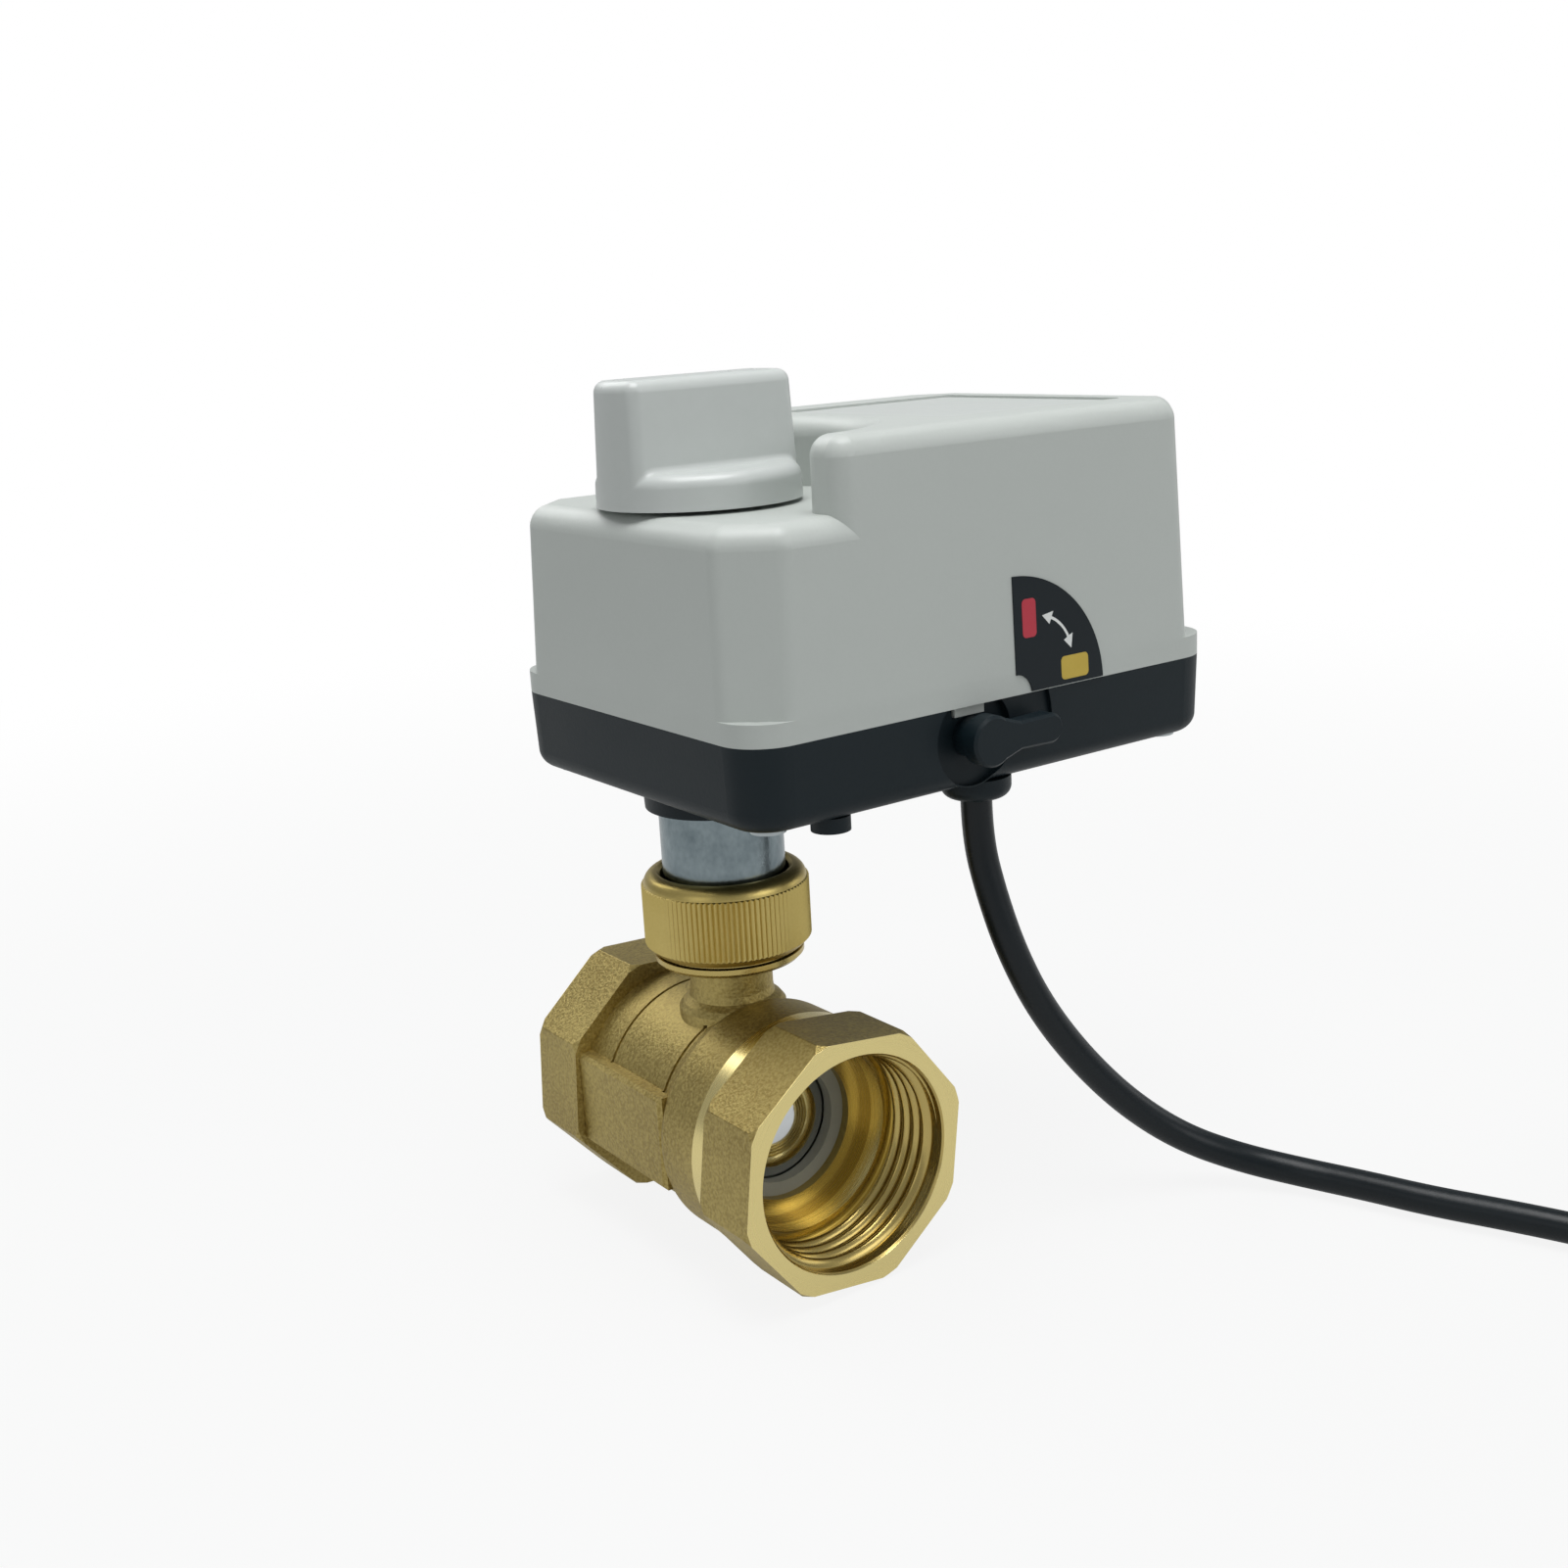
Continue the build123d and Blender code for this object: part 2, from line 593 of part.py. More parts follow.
# Union nut: straight knurl under a smooth rounded rim, lip over the tube's flange
with BuildPart() as union_nut:
    knurl = [(NUT_R - KNURL_DEPTH * (step % 2), math.pi * step / KNURLS)
             for step in range(2 * KNURLS)]
    with BuildSketch(at_stem(0, NUT_BOTTOM)):
        with BuildLine():
            Polyline(*[(r * math.cos(a), r * math.sin(a)) for r, a in knurl], close=True)
        make_face()
    extrude(amount=NUT_TOP - NUT_BOTTOM)
    rim_r = NUT_R - KNURL_DEPTH
    with BuildSketch(STEM_SECTION):
        with BuildLine():
            Polyline((0, NUT_TOP), (0, NUT_BOTTOM), (NUT_R - NUT_FOOT, NUT_BOTTOM),
                     (NUT_R, NUT_BOTTOM + NUT_FOOT), (NUT_R, NUT_TOP - NUT_ROUND),
                     (rim_r, NUT_TOP - NUT_ROUND + 0.2))
            ThreePointArc((rim_r, NUT_TOP - NUT_ROUND + 0.2),
                          (rim_r - 0.29 * NUT_ROUND, NUT_TOP - 0.29 * NUT_ROUND),
                          (rim_r - NUT_ROUND + 0.2, NUT_TOP))
            Line((rim_r - NUT_ROUND + 0.2, NUT_TOP), (0, NUT_TOP))
        make_face()
    revolve(axis=STEM_AXIS, mode=Mode.INTERSECT)
    lip_bottom = TUBE_BOTTOM + TUBE_FLANGE + 0.1
    with BuildSketch(STEM_SECTION):
        with BuildLine():
            Polyline((0, NUT_BOTTOM), (BONNET_R + LOOSE, NUT_BOTTOM), (BONNET_R + LOOSE, lip_bottom),
                     (NUT_LIP_R, lip_bottom), (NUT_LIP_R, NUT_TOP - 0.5), (NUT_LIP_R + 0.5, NUT_TOP),
                     (0, NUT_TOP), close=True)
        make_face()
    revolve(axis=STEM_AXIS, mode=Mode.SUBTRACT)
union_nut.part.label = "union_nut"
export_step(union_nut.part, "parts/union_nut.step")

# Base tray: drafted walls, collar, feet, screw bosses, lever recess and gland hole
screw_x = (HOUSING_LEFT + SCREW_INSET, HOUSING_LEFT + HOUSING_LENGTH - SCREW_INSET)
screw_half = HOUSING_WIDTH / 2 - SCREW_INSET
screw_places = [(x, side * screw_half) for x in screw_x for side in (-1, 1)]
recess_floor = HOUSING_FRONT + RECESS_DEPTH
tab_bottom = SEAM - TAB_DROP
plate_posts = [(x, side * PILLAR_HALF) for x in (PILLAR_LEFT, PILLAR_RIGHT) for side in (-1, 1)]
board_posts = [(x, side * (PLATE_HALF_WIDTH - 2)) for x in (TERMINAL_LEFT + 2, TERMINAL_RIGHT - 2)
               for side in (-1, 1)]

with BuildPart() as base_shape:
    for height, inset in ((HOUSING_BOTTOM, BASE_DRAFT), (SEAM, 0)):
        with BuildSketch(at_stem(HOUSING_MID_X, height)):
            RectangleRounded(HOUSING_LENGTH - 2 * inset, HOUSING_WIDTH - 2 * inset, CORNER_R - inset)
    loft()
    fillet(base_shape.faces().sort_by(Axis.Z)[0].edges(), BASE_ROUND)

with BuildPart() as base:
    add(base_shape.part)
    with BuildSketch(at_stem(HOUSING_MID_X, FLOOR_TOP)):
        RectangleRounded(HOUSING_LENGTH - 2 * (WALL + BASE_DRAFT), HOUSING_WIDTH - 2 * (WALL + BASE_DRAFT),
                         CORNER_R - WALL)
    extrude(amount=SEAM - FLOOR_TOP, mode=Mode.SUBTRACT)
    with BuildSketch(at_stem(0, HOUSING_BOTTOM)):
        Circle(COLLAR_UNDER_R)
    extrude(amount=-COLLAR_UNDER, taper=3)
    with BuildSketch(at_stem(0, HOUSING_BOTTOM)):
        with Locations([(FOOT_X, side * (HOUSING_WIDTH / 2 - FOOT_INSET)) for side in (-1, 1)]):
            Circle(FOOT_R)
    extrude(amount=-FOOT_HEIGHT)
    with BuildSketch(at_stem(0, FLOOR_TOP)):
        with Locations(screw_places):
            Circle(SCREW_BOSS_R)
    extrude(amount=SEAM - FLOOR_TOP)
    with BuildSketch(at_stem(0, FLOOR_TOP)):
        with Locations(plate_posts):
            Circle(PILLAR_R + 0.5)
    extrude(amount=LOWER_PLATE_BOTTOM - FLOOR_TOP)
    with BuildSketch(at_stem(0, FLOOR_TOP)):
        with Locations(board_posts):
            Circle(PILLAR_R)
    extrude(amount=TERMINAL_BOARD_BOTTOM - FLOOR_TOP)
    with BuildSketch(facing_front(LEVER_X, HOUSING_FRONT + WALL + LEVER_BOSS, LEVER_Z)):
        Circle(LEVER_BOSS_R)
        with Locations((0, SEAM - LEVER_Z + LEVER_BOSS_R)):
            Rectangle(4 * LEVER_BOSS_R, 2 * LEVER_BOSS_R, mode=Mode.SUBTRACT)
    extrude(amount=LEVER_BOSS + WALL / 2)
    with BuildSketch(facing_front(LEVER_X, recess_floor, LEVER_Z)):
        Circle(RECESS_R)
    extrude(amount=2 * RECESS_DEPTH, mode=Mode.SUBTRACT)
    with BuildSketch(facing_front(LEVER_X, HOUSING_FRONT + SWEEP_DEPTH, LEVER_Z)):
        Circle(SWEEP_R)
        with Locations((SWEEP_R, SWEEP_R - LEVER_TIP_R - 1)):
            Rectangle(2 * SWEEP_R, 2 * SWEEP_R, mode=Mode.INTERSECT)
    extrude(amount=2 * SWEEP_DEPTH, mode=Mode.SUBTRACT)
    with BuildSketch(facing_front(LEVER_X, recess_floor + WALL / 2 + 0.1, (tab_bottom + SEAM) / 2)):
        Rectangle(TAB_WIDTH + LOOSE, TAB_DROP + 0.2)
    extrude(amount=2 * WALL, mode=Mode.SUBTRACT)
    with BuildSketch(facing_front(LEVER_X, HOUSING_FRONT + 4 * WALL, LEVER_Z)):
        Circle(LEVER_SHAFT_R + RUNNING)
    extrude(amount=5 * WALL, mode=Mode.SUBTRACT)
    with BuildSketch(at_stem(0, HOUSING_BOTTOM - COLLAR_UNDER)):
        Circle(TUBE_R + RUNNING)
    extrude(amount=COLLAR_UNDER + 2 * FLOOR, mode=Mode.SUBTRACT)
    with BuildSketch(at_stem(0, HOUSING_BOTTOM - 1)):
        with Locations((GLAND_X, GLAND_Y - STEM_Y)):
            Circle(GLAND_R - 1.8)
    extrude(amount=FLOOR + 2, mode=Mode.SUBTRACT)
    with BuildSketch(at_stem(0, FLOOR_TOP)):
        with Locations((GLAND_X, GLAND_Y - STEM_Y)):
            Circle(GLAND_R - 1.2)
    extrude(amount=1.4, mode=Mode.SUBTRACT)
    with BuildSketch(at_stem(0, HOUSING_BOTTOM - 1)):
        with Locations(screw_places):
            Circle(SCREW_HEAD_R + LOOSE)
    extrude(amount=SCREW_HEAD + 2, mode=Mode.SUBTRACT)
    with BuildSketch(at_stem(0, HOUSING_BOTTOM)):
        with Locations(screw_places):
            Circle(SCREW_R + RUNNING)
    extrude(amount=SEAM, mode=Mode.SUBTRACT)
base.part.label = "base"
export_step(base.part, "parts/base.step")

# Cover: low deck by the knob, high block scooped round the knob, tab over the lever's recess
groove_in = WALL + 2 * GASKET_WIDTH
low_block, high_block = housing_block(0, DECK), housing_block(0, TOP)
high_room = housing_block(WALL, TOP - WALL)
outer_cut, inner_cut = deck_cut(0, SEAM), deck_cut(WALL, DECK - WALL)

with BuildPart() as cover_top:
    add(high_block)
    add(outer_cut, mode=Mode.SUBTRACT)
    horn_edges = cover_top.edges().filter_by(lambda e: abs(e.center().X - STEP_X) < COVER_DRAFT / 2
                                             and e.length > (TOP - SEAM) / 2)
    fillet(horn_edges, SOFT_CORNER)
    fillet(cover_top.faces().sort_by(Axis.Z)[-1].edges(), TOP_ROUND)
    with BuildSketch(at_stem((PANEL_LEFT + PANEL_RIGHT) / 2, TOP - PANEL_DEPTH)):
        RectangleRounded(PANEL_RIGHT - PANEL_LEFT, PANEL_WIDTH, 1.5)
    extrude(amount=2 * PANEL_DEPTH, mode=Mode.SUBTRACT)

with BuildPart() as cover_room:
    add(high_room)
    add(inner_cut, mode=Mode.SUBTRACT)

with BuildPart() as cover:
    add(low_block)
    fillet(cover.faces().sort_by(Axis.Z)[-1].edges(), DECK_ROUND)
    add(cover_top.part)
    add(cover_room.part, mode=Mode.SUBTRACT)
    with BuildSketch(at_stem(0, SEAM)):
        with Locations(screw_places):
            Circle(SCREW_BOSS_R)
    extrude(amount=SCREW_LENGTH)
    with BuildSketch(at_stem(0, SEAM)):
        with Locations(screw_places):
            Circle(SCREW_R + RUNNING)
    extrude(amount=SCREW_LENGTH - 2, mode=Mode.SUBTRACT)
    with BuildSketch(at_stem(0, DECK - 2 * WALL)):
        Circle(DECK_HOLE_R)
    extrude(amount=3 * WALL, mode=Mode.SUBTRACT)
    with BuildSketch(facing_front(LEVER_X, recess_floor + WALL / 2, (tab_bottom + SEAM + WALL) / 2)):
        Rectangle(TAB_WIDTH, TAB_DROP + WALL)
    extrude(amount=WALL / 2 + 0.5)
    with BuildSketch(at_stem(HOUSING_MID_X, SEAM)):
        RectangleRounded(HOUSING_LENGTH - WALL, HOUSING_WIDTH - WALL, CORNER_R - WALL / 2)
        RectangleRounded(HOUSING_LENGTH - groove_in, HOUSING_WIDTH - groove_in,
                         CORNER_R - groove_in / 2, mode=Mode.SUBTRACT)
        with Locations((LEVER_X - HOUSING_MID_X, -HOUSING_WIDTH / 2)):
            Rectangle(TAB_WIDTH + 2, 4 * WALL, mode=Mode.SUBTRACT)
    extrude(amount=GASKET_HEIGHT, mode=Mode.SUBTRACT)
cover.part.label = "cover"
export_step(cover.part, "parts/cover.step")

with BuildPart() as cover_gasket:
    with BuildSketch(at_stem(HOUSING_MID_X, SEAM)):
        RectangleRounded(HOUSING_LENGTH - WALL - 0.1, HOUSING_WIDTH - WALL - 0.1, CORNER_R - WALL / 2 - 0.05)
        RectangleRounded(HOUSING_LENGTH - groove_in + 0.1, HOUSING_WIDTH - groove_in + 0.1,
                         CORNER_R - groove_in / 2 + 0.05, mode=Mode.SUBTRACT)
        with Locations((LEVER_X - HOUSING_MID_X, -HOUSING_WIDTH / 2)):
            Rectangle(TAB_WIDTH + 2.2, 4 * WALL, mode=Mode.SUBTRACT)
    extrude(amount=GASKET_HEIGHT - 0.05)
cover_gasket.part.label = "cover_gasket"
export_step(cover_gasket.part, "parts/cover_gasket.step")

# Cover screws, put in from below
with BuildPart() as cover_screws:
    with BuildSketch(at_stem(0, HOUSING_BOTTOM - 1 + 0.3)):
        with Locations(screw_places):
            Circle(SCREW_HEAD_R)
    extrude(amount=SCREW_HEAD)
    with BuildSketch(at_stem(0, HOUSING_BOTTOM + SCREW_HEAD - 1)):
        with Locations(screw_places):
            Circle(SCREW_R)
    extrude(amount=SEAM - HOUSING_BOTTOM + SCREW_LENGTH / 2)
    with BuildSketch(at_stem(0, HOUSING_BOTTOM - 1 + 0.3)):
        with Locations(screw_places):
            Rectangle(2 * SCREW_R, 0.6)
            Rectangle(0.6, 2 * SCREW_R)
    extrude(amount=SCREW_HEAD / 2, mode=Mode.SUBTRACT)
cover_screws.part.label = "cover_screws"
export_step(cover_screws.part, "parts/cover_screws.step")

# Label: a quarter ring stuck on the cover's drafted front wall, standing on the seam
draft_angle = math.atan(COVER_DRAFT / (TOP - SEAM - LIP_BAND))
label_plane = Plane(origin=(LABEL_X, HOUSING_FRONT, SEAM + LIP_BAND), x_dir=(1, 0, 0),
                    z_dir=(0, -math.cos(draft_angle), math.sin(draft_angle)))
with BuildPart() as mode_label:
    with BuildSketch(label_plane):
        with Locations((0, -LIP_BAND)):
            Circle(LABEL_R)
            Circle(LABEL_NOTCH_R, mode=Mode.SUBTRACT)
        with Locations((LABEL_R, LABEL_R - LIP_BAND + 0.2)):
            Rectangle(2 * LABEL_R, 2 * LABEL_R, mode=Mode.INTERSECT)
    extrude(amount=LABEL_THICK)
    with BuildSketch(at_stem(HOUSING_MID_X, SEAM)):
        RectangleRounded(HOUSING_LENGTH, HOUSING_WIDTH, CORNER_R)
    extrude(amount=LIP_BAND, mode=Mode.SUBTRACT)
mode_label.part.label = "mode_label"
export_step(mode_label.part, "parts/mode_label.step")

# Knob: one tapered round, cut to a full-width grip bar over its shelf, hub down through the deck
shelf_z = KNOB_BOTTOM + KNOB_SHELF
knob_top_z = KNOB_BOTTOM + KNOB_HEIGHT
with BuildPart() as knob_round:
    with BuildSketch(at_stem(0, KNOB_BOTTOM)):
        Circle(KNOB_R)
    with BuildSketch(at_stem(0, knob_top_z)):
        Circle(KNOB_TOP_R)
    loft()

with BuildPart() as grip_zone:
    with BuildSketch(at_stem(0, shelf_z)):
        Rectangle(4 * KNOB_R, 2 * GRIP_HALF)
    with BuildSketch(at_stem(0, knob_top_z)):
        Rectangle(4 * KNOB_R, 2 * (GRIP_HALF - GRIP_DRAFT))
    loft()

with BuildPart() as beside_grip:
    with BuildSketch(at_stem(0, shelf_z)):
        Rectangle(4 * KNOB_R, 4 * KNOB_R)
    extrude(amount=KNOB_HEIGHT)
    add(grip_zone.part, mode=Mode.SUBTRACT)

with BuildPart() as knob:
    add(knob_round.part)
    add(beside_grip.part, mode=Mode.SUBTRACT)
    upright = knob.edges().filter_by(lambda e: KNOB_HEIGHT / 2 < e.bounding_box().size.Z < KNOB_HEIGHT - 1)
    shelf_arcs = knob.edges().filter_by(lambda e: abs(e.center().Z - shelf_z) < 0.01
                                        and e.geom_type != GeomType.LINE)
    fillet(upright + shelf_arcs, GRIP_ROUND)
    fillet(knob.edges().filter_by(lambda e: abs(e.center().Z - knob_top_z) < 0.01), GRIP_ROUND * 0.9)
    fillet(knob.edges().filter_by(lambda e: abs(e.center().Z - shelf_z) < 0.05
                                  and e.geom_type == GeomType.LINE), GRIP_ROUND / 2)
    with BuildSketch(at_stem(0, KNOB_BOTTOM)):
        Circle(KNOB_HUB_R)
    extrude(amount=-KNOB_GAP - WALL)
    with BuildSketch(at_stem(0, KNOB_BOTTOM - KNOB_GAP - WALL)):
        Circle(SHAFT_TOP_R + RUNNING)
        with Locations((0, -SHAFT_TOP_R - SHAFT_FLAT)):
            Rectangle(4 * SHAFT_R, 2 * SHAFT_TOP_R, mode=Mode.SUBTRACT)
    extrude(amount=KNOB_HEIGHT * 0.8, mode=Mode.SUBTRACT)
knob.part.label = "knob"
export_step(knob.part, "parts/knob.step")

# Output shaft: square socket on the stem, steps up through both plates to the knob
shaft_step = LOWER_PLATE_BOTTOM + 0.5
flat_bottom = DECK - 2 * WALL
with BuildPart() as output_shaft:
    with BuildSketch(at_stem(0, SOCKET_BOTTOM)):
        Circle(SHAFT_LOW_R)
    extrude(amount=shaft_step - SOCKET_BOTTOM)
    with BuildSketch(at_stem(0, shaft_step)):
        Circle(SHAFT_R)
    extrude(amount=OUTPUT_GEAR_BOTTOM + OUTPUT_GEAR_HEIGHT - shaft_step)
    with BuildSketch(at_stem(0, OUTPUT_GEAR_BOTTOM + OUTPUT_GEAR_HEIGHT)):
        Circle(SHAFT_TOP_R)
    extrude(amount=flat_bottom - OUTPUT_GEAR_BOTTOM - OUTPUT_GEAR_HEIGHT)
    with BuildSketch(at_stem(0, flat_bottom)):
        Circle(SHAFT_TOP_R)
        with Locations((0, -SHAFT_TOP_R - SHAFT_FLAT)):
            Rectangle(4 * SHAFT_R, 2 * SHAFT_TOP_R, mode=Mode.SUBTRACT)
    extrude(amount=KNOB_BOTTOM + KNOB_HEIGHT * 0.6 - flat_bottom)
    with BuildSketch(at_stem(0, SOCKET_BOTTOM)):
        Rectangle(STEM_SQUARE + 2 * RUNNING, STEM_SQUARE + 2 * RUNNING)
    extrude(amount=STEM_TOP + 0.5 - SOCKET_BOTTOM, mode=Mode.SUBTRACT)
output_shaft.part.label = "output_shaft"
export_step(output_shaft.part, "parts/output_shaft.step")

with BuildPart() as shaft_bush:
    add(ring(at_stem(0, FLOOR_TOP - 5), TUBE_R - TUBE_WALL - RUNNING, SHAFT_LOW_R + RUNNING, 6))
shaft_bush.part.label = "shaft_bush"
export_step(shaft_bush.part, "parts/shaft_bush.step")

with BuildPart() as shaft_clip:
    with BuildSketch(at_stem(0, UPPER_PLATE_TOP + 0.15)):
        Circle(SHAFT_TOP_R + 2)
        Circle(SHAFT_TOP_R + 0.02, mode=Mode.SUBTRACT)
        with Locations((0, SHAFT_TOP_R + 1)):
            Rectangle(SHAFT_TOP_R, 4, mode=Mode.SUBTRACT)
    extrude(amount=0.7)
shaft_clip.part.label = "shaft_clip"
export_step(shaft_clip.part, "parts/shaft_clip.step")

# Gear plates and their pillars
with BuildPart() as lower_gear_plate:
    with BuildSketch(at_stem(0, LOWER_PLATE_BOTTOM)):
        with Locations(((PLATE_LEFT + LOWER_PLATE_RIGHT) / 2, 0)):
            RectangleRounded(LOWER_PLATE_RIGHT - PLATE_LEFT, 2 * PLATE_HALF_WIDTH, 3)
        Circle(SHAFT_LOW_R + 1, mode=Mode.SUBTRACT)
        with Locations((CLUTCH_X, 0), (IDLER_X, 0), (GUIDE_X, GUIDE_Y)):
            Circle(AXLE_R, mode=Mode.SUBTRACT)
        with Locations((PINION_X, 0)):
            Circle(AXLE_R + RUNNING, mode=Mode.SUBTRACT)
        with Locations((LEVER_X + 1, FORK_FOOT_Y - 2)):
            Rectangle(12, 14, mode=Mode.SUBTRACT)
    extrude(amount=PLATE)
lower_gear_plate.part.label = "lower_gear_plate"
export_step(lower_gear_plate.part, "parts/lower_gear_plate.step")

with BuildPart() as upper_gear_plate:
    with BuildSketch(at_stem(0, UPPER_PLATE_BOTTOM)):
        with Locations(((PLATE_LEFT + UPPER_PLATE_RIGHT) / 2, 0)):
            RectangleRounded(UPPER_PLATE_RIGHT - PLATE_LEFT, 2 * PLATE_HALF_WIDTH, 3)
        Circle(SHAFT_TOP_R + RUNNING, mode=Mode.SUBTRACT)
        with Locations((CLUTCH_X, 0), (IDLER_X, 0), (GUIDE_X, GUIDE_Y)):
            Circle(AXLE_R, mode=Mode.SUBTRACT)
        with Locations((PINION_X, 0)):
            Circle(AXLE_R + 1, mode=Mode.SUBTRACT)
        with Locations(plate_posts):
            Circle(SCREW_R + RUNNING, mode=Mode.SUBTRACT)
        with Locations((MOTOR_X, 12), (MOTOR_X, -12)):
            Circle(SCREW_R + RUNNING, mode=Mode.SUBTRACT)
    extrude(amount=PLATE)
upper_gear_plate.part.label = "upper_gear_plate"
export_step(upper_gear_plate.part, "parts/upper_gear_plate.step")

with BuildPart() as plate_pillars:
    with BuildSketch(at_stem(0, LOWER_PLATE_TOP)):
        with Locations(plate_posts):
            Circle(PILLAR_R)
    extrude(amount=UPPER_PLATE_BOTTOM - LOWER_PLATE_TOP)
    with BuildSketch(at_stem(0, UPPER_PLATE_BOTTOM - 8)):
        with Locations(plate_posts):
            Circle(SCREW_R + RUNNING)
    extrude(amount=8, mode=Mode.SUBTRACT)
plate_pillars.part.label = "plate_pillars"
export_step(plate_pillars.part, "parts/plate_pillars.step")

with BuildPart() as plate_screws:
    with BuildSketch(at_stem(0, UPPER_PLATE_TOP)):
        with Locations(plate_posts):
            Circle(SCREW_HEAD_R)
    extrude(amount=SCREW_HEAD / 2)
    with BuildSketch(at_stem(0, UPPER_PLATE_TOP)):
        with Locations(plate_posts):
            Circle(SCREW_R)
    extrude(amount=-PLATE - 6)
plate_screws.part.label = "plate_screws"
export_step(plate_screws.part, "parts/plate_screws.step")

# Output gear, on the shaft
with BuildPart() as output_gear:
    add(gear_disc(at_stem(0, OUTPUT_GEAR_BOTTOM), OUTPUT_TEETH, OUTPUT_MODULE, OUTPUT_GEAR_HEIGHT))
    with BuildSketch(at_stem(0, LOWER_PLATE_TOP + GEAR_GAP)):
        Circle(SHAFT_R + 2.5)
    extrude(amount=OUTPUT_GEAR_BOTTOM - LOWER_PLATE_TOP - GEAR_GAP)
    with BuildSketch(at_stem(0, LOWER_PLATE_TOP)):
        Circle(SHAFT_R + 0.02)
    extrude(amount=2 * OUTPUT_GEAR_HEIGHT, mode=Mode.SUBTRACT)
output_gear.part.label = "output_gear"
export_step(output_gear.part, "parts/output_gear.step")

# Clutch gear: long pinion on the output gear, wheel on the idler's pinion
clutch_pinion_bottom = OUTPUT_GEAR_BOTTOM + 0.2
with BuildPart() as clutch_gear:
    add(gear_disc(at_stem(CLUTCH_X, clutch_pinion_bottom), CLUTCH_PINION_TEETH, OUTPUT_MODULE,
                  CLUTCH_PINION_HEIGHT, meshed(CLUTCH_PINION_TEETH)))
    with BuildSketch(at_stem(CLUTCH_X, clutch_pinion_bottom)):
        Circle(AXLE_R + 1.5)
    extrude(amount=CLUTCH_WHEEL_BOTTOM - clutch_pinion_bottom)
    add(gear_disc(at_stem(CLUTCH_X, CLUTCH_WHEEL_BOTTOM), CLUTCH_TEETH, CLUTCH_MODULE, CLUTCH_WHEEL_HEIGHT))
    with BuildSketch(at_stem(CLUTCH_X, clutch_pinion_bottom)):
        Circle(AXLE_R + RUNNING)
    extrude(amount=2 * CLUTCH_PINION_HEIGHT, mode=Mode.SUBTRACT)
clutch_gear.part.label = "clutch_gear"
export_step(clutch_gear.part, "parts/clutch_gear.step")

with BuildPart() as gear_axles:
    with BuildSketch(at_stem(0, LOWER_PLATE_BOTTOM)):
        with Locations((CLUTCH_X, 0), (IDLER_X, 0)):
            Circle(AXLE_R)
    extrude(amount=UPPER_PLATE_TOP - LOWER_PLATE_BOTTOM)
gear_axles.part.label = "gear_axles"
export_step(gear_axles.part, "parts/gear_axles.step")

# Idler gear: wheel on the motor's pinion, pinion under the clutch wheel
idler_hub_bottom = LOWER_PLATE_TOP + GEAR_GAP
idler_pinion_bottom = IDLER_WHEEL_BOTTOM + IDLER_WHEEL_HEIGHT
idler_pinion_top = CLUTCH_WHEEL_BOTTOM + CLUTCH_WHEEL_HEIGHT
with BuildPart() as idler_gear:
    with BuildSketch(at_stem(IDLER_X, idler_hub_bottom)):
        Circle(AXLE_R + 1.5)
    extrude(amount=IDLER_WHEEL_BOTTOM - idler_hub_bottom)
    add(gear_disc(at_stem(IDLER_X, IDLER_WHEEL_BOTTOM), IDLER_TEETH, MOTOR_MODULE, IDLER_WHEEL_HEIGHT))
    add(gear_disc(at_stem(IDLER_X, idler_pinion_bottom), IDLER_PINION_TEETH, CLUTCH_MODULE,
                  idler_pinion_top - idler_pinion_bottom, meshed(IDLER_PINION_TEETH)))
    with BuildSketch(at_stem(IDLER_X, idler_hub_bottom)):
        Circle(AXLE_R + RUNNING)
    extrude(amount=UPPER_PLATE_BOTTOM - idler_hub_bottom, mode=Mode.SUBTRACT)
idler_gear.part.label = "idler_gear"
export_step(idler_gear.part, "parts/idler_gear.step")

# Motor: round can on the upper plate, its pinion on a long shaft down to the lower plate
with BuildPart() as motor:
    with BuildSketch(at_stem(MOTOR_X, UPPER_PLATE_TOP)):
        Circle(MOTOR_R)
    extrude(amount=MOTOR_HEIGHT)
    fillet(motor.faces().sort_by(Axis.Z)[-1].edges(), 1.5)
    with BuildSketch(at_stem(0, UPPER_PLATE_TOP)):
        with Locations((PINION_X, 0)):
            Circle(AXLE_R + LOOSE)
        with Locations((MOTOR_X, 12), (MOTOR_X, -12)):
            Circle(SCREW_R + RUNNING)
    extrude(amount=6, mode=Mode.SUBTRACT)
motor.part.label = "motor"
export_step(motor.part, "parts/motor.step")

with BuildPart() as motor_screws:
    with BuildSketch(at_stem(MOTOR_X, UPPER_PLATE_BOTTOM)):
        with Locations((0, 12), (0, -12)):
            Circle(SCREW_HEAD_R)
    extrude(amount=-SCREW_HEAD / 2)
    with BuildSketch(at_stem(MOTOR_X, UPPER_PLATE_BOTTOM)):
        with Locations((0, 12), (0, -12)):
            Circle(SCREW_R)
    extrude(amount=PLATE + 4)
motor_screws.part.label = "motor_screws"
export_step(motor_screws.part, "parts/motor_screws.step")

with BuildPart() as motor_pinion:
    add(gear_disc(at_stem(PINION_X, IDLER_WHEEL_BOTTOM - 0.5), MOTOR_TEETH, MOTOR_MODULE,
                  MOTOR_PINION_HEIGHT, meshed(MOTOR_TEETH)))
    with BuildSketch(at_stem(PINION_X, LOWER_PLATE_BOTTOM)):
        Circle(AXLE_R)
    extrude(amount=UPPER_PLATE_TOP + 5 - LOWER_PLATE_BOTTOM)
motor_pinion.part.label = "motor_pinion"
export_step(motor_pinion.part, "parts/motor_pinion.step")

